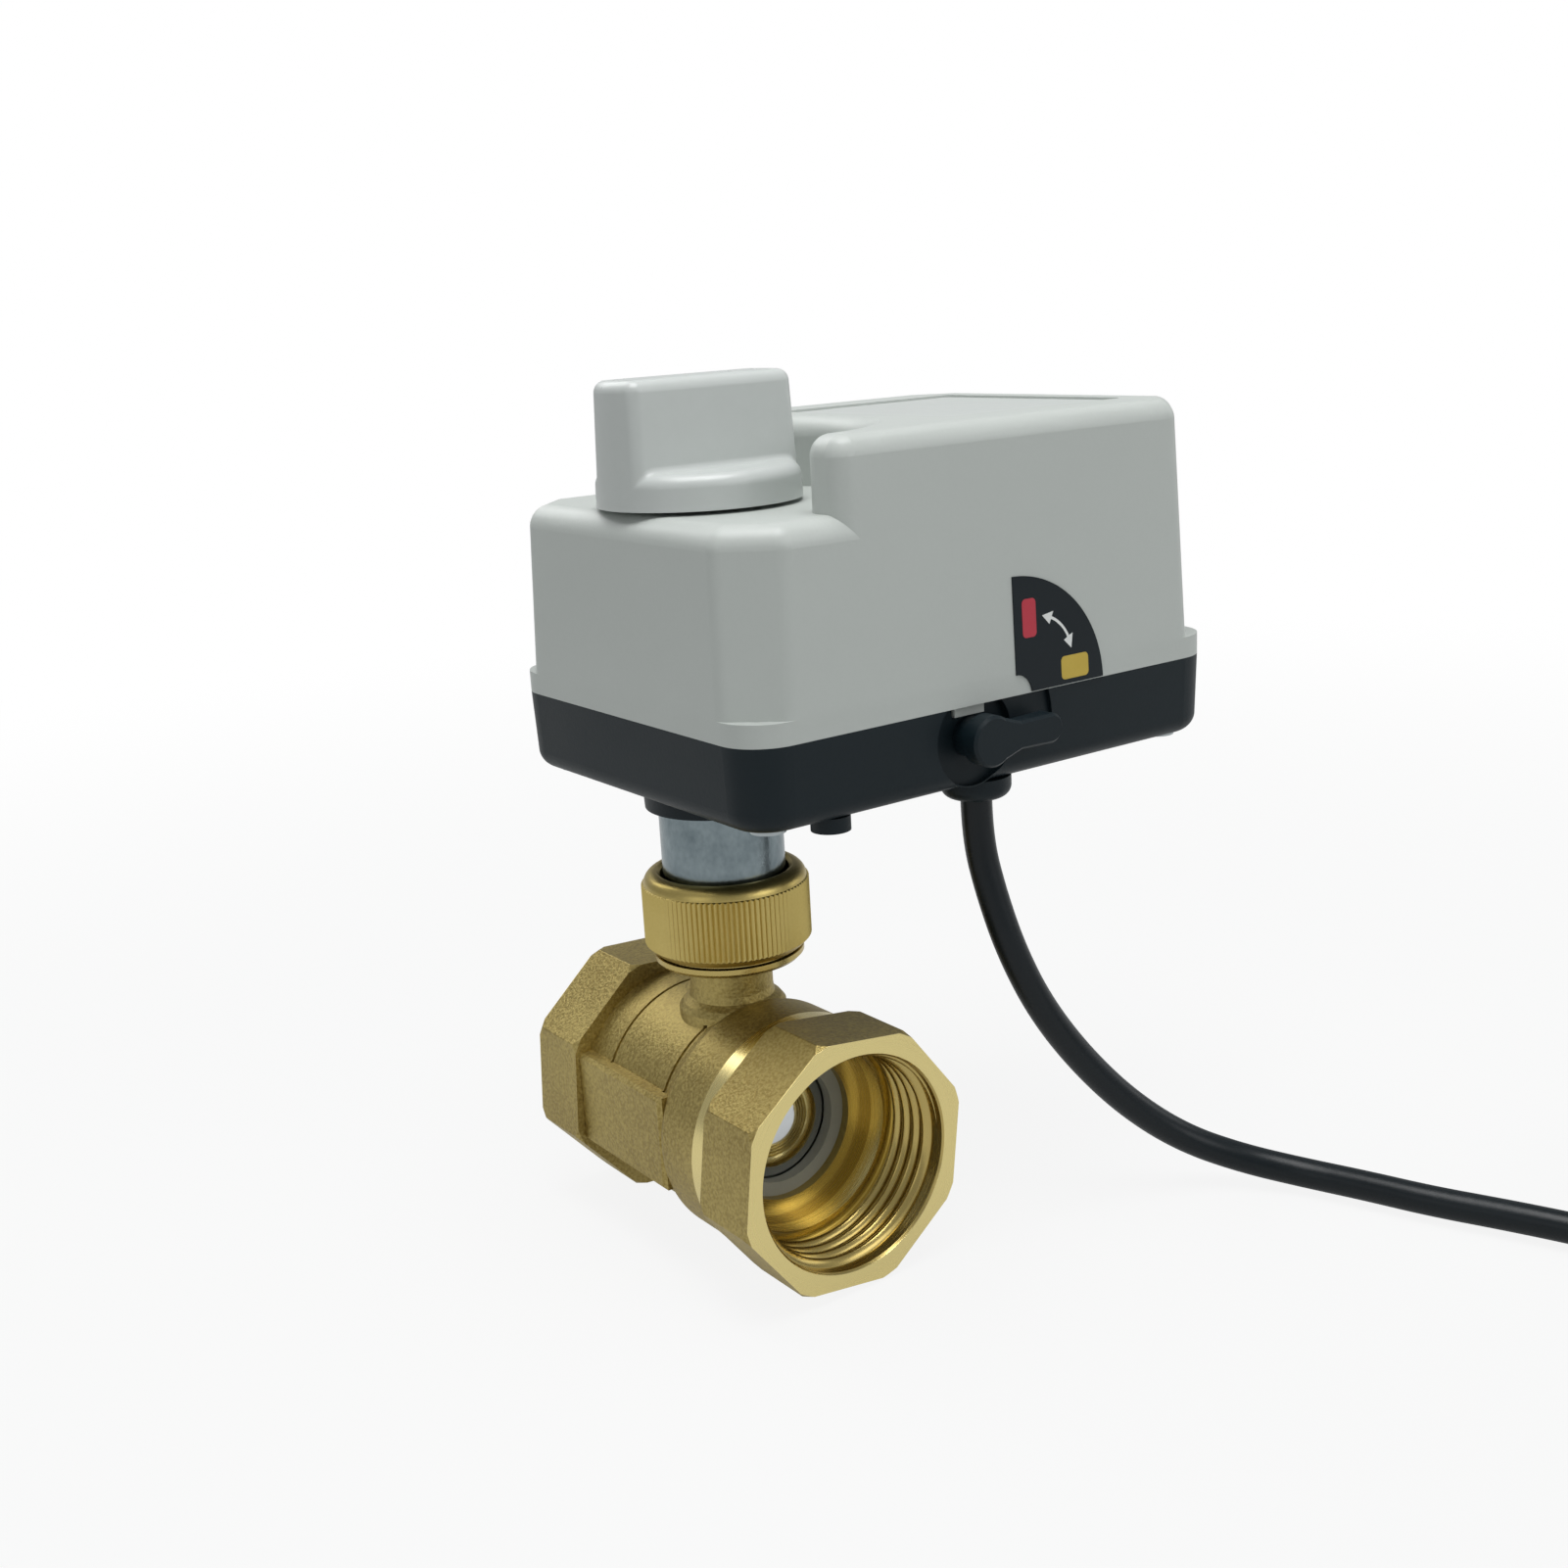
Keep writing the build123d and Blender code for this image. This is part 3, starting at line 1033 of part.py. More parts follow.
# Lifting fork: ring under the clutch wheel, sleeve on a guide pin, foot over the lever's eccentric
fork_top = CLUTCH_WHEEL_BOTTOM - GEAR_GAP
fork_bottom = fork_top - FORK_THICK
eccentric_x = LEVER_X + ECCENTRIC_OFFSET / math.sqrt(2)
eccentric_top = LEVER_Z - ECCENTRIC_OFFSET / math.sqrt(2) + ECCENTRIC_R
fork_foot_bottom = eccentric_top + LOOSE
with BuildPart() as lifting_fork:
    with BuildSketch(at_stem(0, fork_bottom)):
        with Locations((CLUTCH_X, 0)):
            Circle(FORK_RING_R)
        with Locations(((CLUTCH_X + eccentric_x) / 2, FORK_FOOT_Y / 2)):
            Rectangle(eccentric_x - CLUTCH_X + 2, -FORK_FOOT_Y + 2)
        with Locations(((GUIDE_X + eccentric_x) / 2, GUIDE_Y + 1)):
            Rectangle(eccentric_x - GUIDE_X + FORK_FOOT, FORK_FOOT)
        with Locations((CLUTCH_X, 0)):
            Circle((CLUTCH_PINION_TEETH / 2 + 1.1) * OUTPUT_MODULE, mode=Mode.SUBTRACT)
    extrude(amount=FORK_THICK)
    with BuildSketch(at_stem(eccentric_x, fork_bottom)):
        with Locations((0, FORK_FOOT_Y)):
            Rectangle(FORK_FOOT, FORK_FOOT - 1)
    extrude(amount=fork_foot_bottom - fork_bottom)
    with BuildSketch(at_stem(GUIDE_X, fork_top)):
        with Locations((0, GUIDE_Y)):
            Circle(AXLE_R + 1.3)
    extrude(amount=-5)
    with BuildSketch(at_stem(GUIDE_X, fork_top)):
        with Locations((0, GUIDE_Y)):
            Circle(AXLE_R + RUNNING)
    extrude(amount=-6, mode=Mode.SUBTRACT)
lifting_fork.part.label = "lifting_fork"
export_step(lifting_fork.part, "parts/lifting_fork.step")

with BuildPart() as fork_guide_pin:
    with BuildSketch(at_stem(GUIDE_X, LOWER_PLATE_BOTTOM)):
        with Locations((0, GUIDE_Y)):
            Circle(AXLE_R)
    extrude(amount=UPPER_PLATE_TOP - LOWER_PLATE_BOTTOM)
fork_guide_pin.part.label = "fork_guide_pin"
export_step(fork_guide_pin.part, "parts/fork_guide_pin.step")

# Return spring: wound round the clutch axle, from the clutch wheel up to the upper plate
spring_bottom = idler_pinion_top + SPRING_WIRE + 0.1
spring_height = UPPER_PLATE_BOTTOM - SPRING_WIRE - 0.1 - spring_bottom
with BuildPart() as clutch_spring:
    with BuildLine():
        coil_line = Helix(spring_height / SPRING_TURNS, spring_height, SPRING_R,
                          center=(CLUTCH_X, STEM_Y, spring_bottom))
    with BuildSketch(Plane(origin=coil_line @ 0, z_dir=coil_line % 0)):
        Circle(SPRING_WIRE)
    sweep()
clutch_spring.part.label = "clutch_spring"
export_step(clutch_spring.part, "parts/clutch_spring.step")

# Change-over lever: hub and arm outside, shaft through the wall, eccentric under the fork
lever_face = HOUSING_FRONT - LEVER_PROUD
eccentric_y = STEM_Y + FORK_FOOT_Y + ECCENTRIC_LENGTH / 2
with BuildPart() as mode_lever:
    with BuildSketch(facing_front(LEVER_X, lever_face + LEVER_THICK, LEVER_Z)):
        Circle(LEVER_HUB_R)
        with BuildLine():
            Line((LEVER_REACH - LEVER_TIP_R, -LEVER_TIP_R), (LEVER_HUB_R + 1.5, -LEVER_WAIST))
            Line((LEVER_HUB_R + 1.5, -LEVER_WAIST), (LEVER_HUB_R * 0.6, -LEVER_HUB_R * 0.8))
            Line((LEVER_HUB_R * 0.6, -LEVER_HUB_R * 0.8), (LEVER_HUB_R * 0.6, LEVER_HUB_R * 0.8))
            Line((LEVER_HUB_R * 0.6, LEVER_HUB_R * 0.8), (LEVER_HUB_R + 1.5, LEVER_WAIST))
            Line((LEVER_HUB_R + 1.5, LEVER_WAIST), (LEVER_REACH - LEVER_TIP_R, LEVER_TIP_R))
            ThreePointArc((LEVER_REACH - LEVER_TIP_R, LEVER_TIP_R), (LEVER_REACH, 0),
                          (LEVER_REACH - LEVER_TIP_R, -LEVER_TIP_R))
        make_face()
    extrude(amount=LEVER_THICK)
    chamfer(mode_lever.faces().sort_by(Axis.Y)[0].edges(), 0.4)
    with BuildSketch(facing_front(LEVER_X, recess_floor - 0.1, LEVER_Z)):
        Circle(LEVER_NECK_R)
    extrude(amount=recess_floor - 0.1 - lever_face - LEVER_THICK)
mode_lever.part.label = "mode_lever"
export_step(mode_lever.part, "parts/mode_lever.step")

with BuildPart() as lever_shaft:
    with BuildSketch(facing_front(LEVER_X, eccentric_y - ECCENTRIC_LENGTH, LEVER_Z)):
        Circle(LEVER_SHAFT_R)
    extrude(amount=eccentric_y - ECCENTRIC_LENGTH - recess_floor + 0.1)
    with BuildSketch(facing_front(eccentric_x, eccentric_y, LEVER_Z - ECCENTRIC_OFFSET / math.sqrt(2))):
        Circle(ECCENTRIC_R)
    extrude(amount=ECCENTRIC_LENGTH)
lever_shaft.part.label = "lever_shaft"
export_step(lever_shaft.part, "parts/lever_shaft.step")

lever_clip_y = HOUSING_FRONT + WALL + LEVER_BOSS + 0.8
with BuildPart() as lever_clip:
    with BuildSketch(facing_front(LEVER_X, lever_clip_y, LEVER_Z)):
        Circle(LEVER_SHAFT_R + 1.3)
        Circle(LEVER_SHAFT_R + 0.02, mode=Mode.SUBTRACT)
        with Locations((0, LEVER_SHAFT_R + 1)):
            Rectangle(LEVER_SHAFT_R, 3, mode=Mode.SUBTRACT)
    extrude(amount=0.6)
lever_clip.part.label = "lever_clip"
export_step(lever_clip.part, "parts/lever_clip.step")

# Cams on the output shaft
with BuildPart() as close_cam:
    with BuildSketch(at_stem(0, CLOSE_CAM_BOTTOM)):
        Polygon((0, 0), (-9, -2 * CAM_R), (9, -2 * CAM_R), align=None)
        Circle(CAM_LOBE_R, mode=Mode.INTERSECT)
        Circle(CAM_R)
        Circle(SHAFT_TOP_R + 0.02, mode=Mode.SUBTRACT)
    extrude(amount=CAM_HEIGHT)
close_cam.part.label = "close_cam"
export_step(close_cam.part, "parts/close_cam.step")

with BuildPart() as open_cam:
    with BuildSketch(at_stem(0, OPEN_CAM_BOTTOM)):
        Polygon((0, 0), (2 * CAM_R, -9), (2 * CAM_R, 9), align=None)
        Circle(CAM_LOBE_R, mode=Mode.INTERSECT)
        Circle(CAM_R)
        Circle(SHAFT_TOP_R + 0.02, mode=Mode.SUBTRACT)
    extrude(amount=CAM_HEIGHT)
open_cam.part.label = "open_cam"
export_step(open_cam.part, "parts/open_cam.step")

# Circuit board over the upper plate, with a limit switch each side of the cams
board_top = BOARD_BOTTOM + BOARD
board_middle = (BOARD_LEFT + BOARD_RIGHT) / 2
with BuildPart() as circuit_board:
    with BuildSketch(at_stem(board_middle, BOARD_BOTTOM)):
        RectangleRounded(BOARD_RIGHT - BOARD_LEFT, BOARD_WIDTH, 1)
        with Locations((-board_middle, 0)):
            Circle(SHAFT_R + 3, mode=Mode.SUBTRACT)
    extrude(amount=BOARD)
circuit_board.part.label = "circuit_board"
export_step(circuit_board.part, "parts/circuit_board.step")

with BuildPart() as board_spacers:
    with BuildSketch(at_stem(board_middle + 2.5, UPPER_PLATE_TOP)):
        with GridLocations(SWITCH_LENGTH, 2 * PLATE_HALF_WIDTH - 2 * SPACER_R, 2, 2):
            Circle(SPACER_R)
    extrude(amount=BOARD_BOTTOM - UPPER_PLATE_TOP)
board_spacers.part.label = "board_spacers"
export_step(board_spacers.part, "parts/board_spacers.step")

switch_middle = SWITCH_FACE + SWITCH_DEPTH / 2
button_half_width = 1.4
button_thick = 1.2
button_reach = SWITCH_FACE - CAM_LOBE_R - LOOSE
button_room = BUTTON_TRAVEL + 2.5

with BuildPart() as close_switch:
    with BuildSketch(at_stem(0, board_top)):
        with Locations((0, -switch_middle)):
            Rectangle(SWITCH_LENGTH, SWITCH_DEPTH)
    extrude(amount=SWITCH_HEIGHT)
    with Locations((0, STEM_Y - SWITCH_FACE - button_room / 2, CLOSE_CAM_BOTTOM + CAM_HEIGHT / 2)):
        Box(2 * button_half_width + 2 * RUNNING, button_room, button_thick + 2 * RUNNING, mode=Mode.SUBTRACT)
close_switch.part.label = "close_switch"
export_step(close_switch.part, "parts/close_switch.step")

with BuildPart() as open_switch:
    with BuildSketch(at_stem(0, board_top)):
        with Locations((0, switch_middle)):
            Rectangle(SWITCH_LENGTH, SWITCH_DEPTH)
    extrude(amount=SWITCH_HEIGHT)
    with Locations((0, STEM_Y + SWITCH_FACE + button_room / 2, OPEN_CAM_BOTTOM + CAM_HEIGHT / 2)):
        Box(2 * button_half_width + 2 * RUNNING, button_room, button_thick + 2 * RUNNING, mode=Mode.SUBTRACT)
open_switch.part.label = "open_switch"
export_step(open_switch.part, "parts/open_switch.step")

button_length = button_reach + button_room - BUTTON_TRAVEL - 0.2
with BuildPart() as close_button:
    with Locations((0, STEM_Y - CAM_LOBE_R - LOOSE - button_length / 2, CLOSE_CAM_BOTTOM + CAM_HEIGHT / 2)):
        Box(2 * button_half_width, button_length, button_thick)
    fillet(close_button.faces().sort_by(Axis.Y)[-1].edges().filter_by(Axis.X), 0.5)
close_button.part.label = "close_button"
export_step(close_button.part, "parts/close_button.step")

with BuildPart() as open_button:
    with Locations((0, STEM_Y + CAM_LOBE_R + LOOSE + button_length / 2, OPEN_CAM_BOTTOM + CAM_HEIGHT / 2)):
        Box(2 * button_half_width, button_length, button_thick)
    fillet(open_button.faces().sort_by(Axis.Y)[0].edges().filter_by(Axis.X), 0.5)
open_button.part.label = "open_button"
export_step(open_button.part, "parts/open_button.step")

# Terminal board at the motor end, with the terminal block and the capacitor
terminal_mid_x = (TERMINAL_LEFT + TERMINAL_RIGHT) / 2
terminal_floor = TERMINAL_BOARD_BOTTOM + BOARD
with BuildPart() as terminal_board:
    with BuildSketch(at_stem(terminal_mid_x, TERMINAL_BOARD_BOTTOM)):
        RectangleRounded(TERMINAL_RIGHT - TERMINAL_LEFT, 2 * PLATE_HALF_WIDTH, 1)
    extrude(amount=BOARD)
terminal_board.part.label = "terminal_board"
export_step(terminal_board.part, "parts/terminal_board.step")

with BuildPart() as terminal_block:
    with BuildSketch(at_stem(terminal_mid_x, terminal_floor)):
        with Locations((0, 8 - BLOCK_LENGTH / 2)):
            Rectangle(BLOCK_DEPTH, BLOCK_LENGTH)
    extrude(amount=BLOCK_HEIGHT)
    with BuildSketch(at_stem(terminal_mid_x, terminal_floor + BLOCK_HEIGHT)):
        with Locations((0, 8 - BLOCK_LENGTH / 2)):
            with GridLocations(BLOCK_PITCH, BLOCK_PITCH, 1, 5):
                Circle(BLOCK_PITCH / 3)
    extrude(amount=-3, mode=Mode.SUBTRACT)
terminal_block.part.label = "terminal_block"
export_step(terminal_block.part, "parts/terminal_block.step")

with BuildPart() as capacitor:
    with BuildSketch(at_stem(terminal_mid_x, terminal_floor)):
        with Locations((0, 10.5 + CAPACITOR_LENGTH / 2)):
            RectangleRounded(BLOCK_DEPTH, CAPACITOR_LENGTH, 1)
    extrude(amount=CAPACITOR_HEIGHT)
capacitor.part.label = "capacitor"
export_step(capacitor.part, "parts/capacitor.step")

# Gland: rounded boss under the base, shank through the floor, collar inside
gland_bottom = HOUSING_BOTTOM - GLAND_DROP
gland_axis = Axis((GLAND_X, GLAND_Y, 0), (0, 0, 1))
with BuildPart() as cable_gland:
    with BuildSketch(facing_front(GLAND_X, GLAND_Y, 0)):
        with BuildLine():
            Line((CABLE_R + RUNNING, gland_bottom), (GLAND_R - 2, gland_bottom))
            ThreePointArc((GLAND_R - 2, gland_bottom), (GLAND_R - 0.5, gland_bottom + 0.6),
                          (GLAND_R, gland_bottom + 2))
            Polyline((GLAND_R, gland_bottom + 2), (GLAND_R, HOUSING_BOTTOM),
                     (GLAND_R - 1.8 - RUNNING, HOUSING_BOTTOM),
                     (GLAND_R - 1.8 - RUNNING, FLOOR_TOP), (GLAND_R - 1.3, FLOOR_TOP),
                     (GLAND_R - 1.3, FLOOR_TOP + 1.2), (CABLE_R + RUNNING, FLOOR_TOP + 1.2),
                     (CABLE_R + RUNNING, gland_bottom))
        make_face()
    revolve(axis=gland_axis)
cable_gland.part.label = "cable_gland"
export_step(cable_gland.part, "parts/cable_gland.step")

# Lead inside the housing, from the gland to the terminal block, held by a clamp
lead_z = FLOOR_TOP + 5.3
terminal_face = terminal_mid_x - BLOCK_DEPTH / 2
lead_turn_y = STEM_Y - 16.5
with BuildPart() as inner_lead:
    with BuildLine() as lead_line:
        FilletPolyline((GLAND_X, GLAND_Y, gland_bottom), (GLAND_X, GLAND_Y, lead_z),
                       (GLAND_X + 13, GLAND_Y, lead_z), (terminal_face - 5, lead_turn_y, lead_z + 3),
                       (terminal_face, lead_turn_y, lead_z + 3), radius=3.2)
    with BuildSketch(Plane(origin=(GLAND_X, GLAND_Y, gland_bottom), z_dir=(0, 0, 1))):
        Circle(CABLE_R)
    sweep()
inner_lead.part.label = "inner_lead"
export_step(inner_lead.part, "parts/inner_lead.step")

with BuildPart() as lead_clamp:
    with Locations((GLAND_X + 7, GLAND_Y, (FLOOR_TOP + lead_z + CABLE_R + 1.2) / 2)):
        Box(4, 8, lead_z + CABLE_R + 1.2 - FLOOR_TOP)
    with BuildSketch(Plane(origin=(GLAND_X, GLAND_Y, lead_z), x_dir=(0, 1, 0), z_dir=(1, 0, 0))):
        Circle(CABLE_R + RUNNING)
    extrude(amount=14, mode=Mode.SUBTRACT)
lead_clamp.part.label = "lead_clamp"
export_step(lead_clamp.part, "parts/lead_clamp.step")

# Free cable: hangs from the gland, comes down to the level the valve lies on and runs to the coil
heading = Vector(math.cos(math.radians(COIL_HEADING)), math.sin(math.radians(COIL_HEADING)))
inward = Vector(-heading.Y, heading.X)
coil_centre = Vector(*COIL_CENTRE, LYING_Z)
coil_tangent = coil_centre - inward * COIL_R
coil_start = coil_tangent - heading * 2 * CABLE_R
cable_points = [
    (GLAND_X, GLAND_Y, gland_bottom), (GLAND_X, GLAND_Y, 43.0), (29.7, 2.5, 34.7), (31.5, 0.2, 25.2),
    (36.0, -1.2, 15.1), (43.0, -2.5, 5.0), (50.9, -5.1, -4.3), (59.3, -8.8, -11.6), (67.0, -14.5, -15.7),
    (72.9, -22.2, LYING_Z), (76.5, -31.6, LYING_Z), (79.7, -41.4, LYING_Z), (84.1, -51.2, LYING_Z),
    (87.8, -60.4, LYING_Z), tuple(coil_start - heading * 9), tuple(coil_start),
]
cable_radii = []
for before, corner, after in zip(cable_points, cable_points[1:], cable_points[2:]):
    first, second = Vector(*corner) - Vector(*before), Vector(*after) - Vector(*corner)
    half_turn = math.radians(first.get_angle(second)) / 2
    cable_radii.append(0.45 * min(first.length, second.length) / math.tan(half_turn))
print("cable bend radii", [round(r, 1) for r in cable_radii])

with BuildPart() as cable:
    with BuildLine() as cable_line:
        FilletPolyline(*cable_points, radius=cable_radii)
    with BuildSketch(Plane(origin=cable_points[0], z_dir=(0, 0, -1))):
        Circle(CABLE_R)
    sweep()
cable_length = cable_line.wires()[0].length
print("free cable", round(cable_length, 1), "mm, volume", round(cable.part.volume, 1),
      "against", round(math.pi * CABLE_R ** 2 * cable_length, 1))
cable.part.label = "cable"
export_step(cable.part, "parts/cable.step")

# Put-away coil: half turns that wind in, climb a layer where they reverse, and wind out again
coil_radii = [COIL_R - TURN_PITCH / 2 * half for half in COIL_HALVES]
climbing = COIL_HALVES.index(max(COIL_HALVES))
coil_middles = []
with BuildPart() as cable_coil:
    with BuildLine() as coil_path:
        Line(coil_start, coil_tangent)
        place, side = coil_tangent, 1
        for half, radius in enumerate(coil_radii):
            across = inward * side * radius + Vector(0, 0, TURN_PITCH / 2 if half == climbing else 0)
            ThreePointArc(place, place + across + heading * side * across.length, place + across * 2)
            coil_middles.append(place + across)
            place, side = place + across * 2, -side
        coil_end = place + heading * side * 2 * CABLE_R
        Line(place, coil_end)
    with BuildSketch(Plane(origin=coil_start, z_dir=heading)):
        Circle(CABLE_R)
    sweep()
coil_wire = coil_path.wires()[0]
coil_samples = [coil_wire @ (k / 400) for k in range(401)]
coil_step = coil_wire.length / 400
coil_apart = int(30 / coil_step)
coil_gap = min((a - b).length for i, a in enumerate(coil_samples) for b in coil_samples[i + coil_apart:])
print("coil", round(coil_wire.length, 1), "mm, least gap between turns", round(coil_gap - 2 * CABLE_R, 2))
cable_coil.part.label = "cable_coil"
export_step(cable_coil.part, "parts/cable_coil.step")

# Ties round all the strands, on both sides of the coil
with BuildPart() as cable_ties:
    for way, first in ((heading, 0), (heading * -1, 1)):
        halves = range(first, len(COIL_HALVES), 2)
        strands = [coil_middles[half] + way * coil_radii[half] - coil_middles[0] for half in halves]
        reaches = [abs(strand.dot(inward)) + TIE_WIDTH / 2 for strand in strands]
        bows = [coil_radii[half] - math.sqrt(coil_radii[half] ** 2 - reach ** 2)
                for half, reach in zip(halves, reaches)]
        far = max(strand.dot(way) for strand in strands)
        near = min(strand.dot(way) - bow for strand, bow in zip(strands, bows))
        low, high = min(s.Z for s in strands), max(s.Z for s in strands)
        tie_centre = coil_middles[0] + way * (far + near) / 2 + Vector(0, 0, (low + high) / 2)
        tie_centre -= inward * TIE_WIDTH / 2
        span, height = far - near + 2 * CABLE_R + 2 * RUNNING, high - low + 2 * CABLE_R + 2 * RUNNING
        with BuildSketch(Plane(origin=tie_centre, x_dir=way, z_dir=inward)):
            RectangleRounded(span + 2 * TIE_THICK, height + 2 * TIE_THICK, CABLE_R + TIE_THICK - 0.1)
            RectangleRounded(span, height, CABLE_R - 0.1, mode=Mode.SUBTRACT)
        extrude(amount=TIE_WIDTH)
cable_ties.part.label = "cable_ties"
export_step(cable_ties.part, "parts/cable_ties.step")

# Stripped ends: three insulated cores out of the sheath
core_way = heading * side
for index, name in enumerate(("core_brown", "core_blue", "core_black")):
    angle = math.radians(90 + 120 * index)
    across = inward * math.cos(angle) + Vector(0, 0, math.sin(angle))
    core_start = coil_end + across * CORE_OFFSET
    core_bend = core_start + core_way * CORE_LENGTH / 2
    core_tip = core_start + core_way * CORE_LENGTH + across * CORE_SPREAD
    turn = math.radians((core_bend - core_start).get_angle(core_tip - core_bend))
    with BuildPart() as core:
        with BuildLine():
            FilletPolyline(core_start, core_bend, core_tip, radius=0.225 * CORE_LENGTH / math.tan(turn / 2))
        with BuildSketch(Plane(origin=core_start, z_dir=core_way)):
            Circle(CORE_R)
        sweep()
    core.part.label = name
    export_step(core.part, f"parts/{name}.step")
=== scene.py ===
"""Motorized ball valve, dressed for its studio picture.

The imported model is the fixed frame: every piece made here is placed by its axes and sizes. The origin is the
centre of the front port's face, +Y runs along the pipe, +Z up the stem and +X along the drive housing.
"""

import logging
import math
from dataclasses import dataclass
from enum import Enum

import bmesh
import bpy
from mathutils import Matrix, Vector

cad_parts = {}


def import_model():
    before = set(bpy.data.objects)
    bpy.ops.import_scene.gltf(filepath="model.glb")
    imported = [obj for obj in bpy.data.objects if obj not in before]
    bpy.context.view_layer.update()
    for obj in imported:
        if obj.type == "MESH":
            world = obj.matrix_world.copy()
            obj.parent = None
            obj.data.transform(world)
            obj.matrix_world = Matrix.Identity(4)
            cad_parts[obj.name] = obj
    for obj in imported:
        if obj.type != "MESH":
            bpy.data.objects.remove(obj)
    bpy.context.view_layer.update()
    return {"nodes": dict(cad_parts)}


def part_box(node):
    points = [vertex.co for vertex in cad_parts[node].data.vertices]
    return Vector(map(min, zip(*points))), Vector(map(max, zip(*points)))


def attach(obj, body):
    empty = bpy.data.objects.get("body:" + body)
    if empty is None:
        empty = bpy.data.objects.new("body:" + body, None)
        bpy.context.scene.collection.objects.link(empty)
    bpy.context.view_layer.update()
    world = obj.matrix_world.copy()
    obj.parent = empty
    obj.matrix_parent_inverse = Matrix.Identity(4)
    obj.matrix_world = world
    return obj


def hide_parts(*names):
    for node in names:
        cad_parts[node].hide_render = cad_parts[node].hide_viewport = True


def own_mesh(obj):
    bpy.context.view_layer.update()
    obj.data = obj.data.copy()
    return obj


LOG = logging.getLogger("motorized_valve")
MM = 0.001
FULL_TURN = 2 * math.pi
STEM_Y = 30.5
FACE_TO_FACE = 61.0
FLOOR_Z = -20.4
FIXED_BODY = "valve"
MATH = "ShaderNodeMath"
# Sockets of a Mix node by number, because its inputs for numbers and for colours have the same names.
SHARE, NUMBER_A, NUMBER_B, COLOUR_A, COLOUR_B, MIXED_COLOUR = 0, 2, 3, 6, 7, 2
# Steps in each round corner of a flat outline.
CORNER_STEPS = 6
# Roughness of a clear top layer, and the least that any surface gets.
COAT_ROUGHNESS, SMOOTHEST = 0.12, 0.02

Source = bpy.types.NodeSocket | bpy.types.Node


class Slot(Enum):
    """The record's material slots, passed along with the added meshes."""

    BRASS = "brass_body"
    GREY_PLASTIC = "grey_plastic"
    LABEL_FILM = "label_film"
    STAINLESS = "stainless"
    ZINC_STEEL = "zinc_steel"


def linear(hex_code: str) -> tuple[float, float, float, float]:
    """Turn an sRGB hex colour into linear values.

    Args:
        hex_code: Six hex digits.

    Returns:
        Linear red, green and blue, and one for an opaque colour.
    """
    parts = [int(hex_code[i:i + 2], 16) / 255 for i in (0, 2, 4)]
    red, green, blue = (p / 12.92 if p <= 0.04045 else ((p + 0.055) / 1.055) ** 2.4 for p in parts)
    return red, green, blue, 1.0


def metres(*values: float) -> tuple[float, ...]:
    """Turn millimetres into metres."""
    return tuple(v * MM for v in values)


def add_node(
    tree: bpy.types.NodeTree,
    kind: str,
    settings: dict[str | int, object] | None = None,
    links: dict[str | int, Source] | None = None,
) -> bpy.types.Node:
    """Add one node with its settings and its links.

    Args:
        tree: The tree that gets the node.
        kind: The node's type name.
        settings: Values by property name, or by the name or number of an input.
        links: What feeds each input, by its name or number: a socket, or a node for its first output.

    Returns:
        The new node.
    """
    node = tree.nodes.new(kind)
    for key, value in (settings or {}).items():
        if isinstance(key, str) and hasattr(node, key):
            setattr(node, key, value)
        else:
            node.inputs[key].default_value = value
    for key, source in (links or {}).items():
        socket = source.outputs[0] if isinstance(source, bpy.types.Node) else source
        tree.links.new(socket, node.inputs[key])
    return node


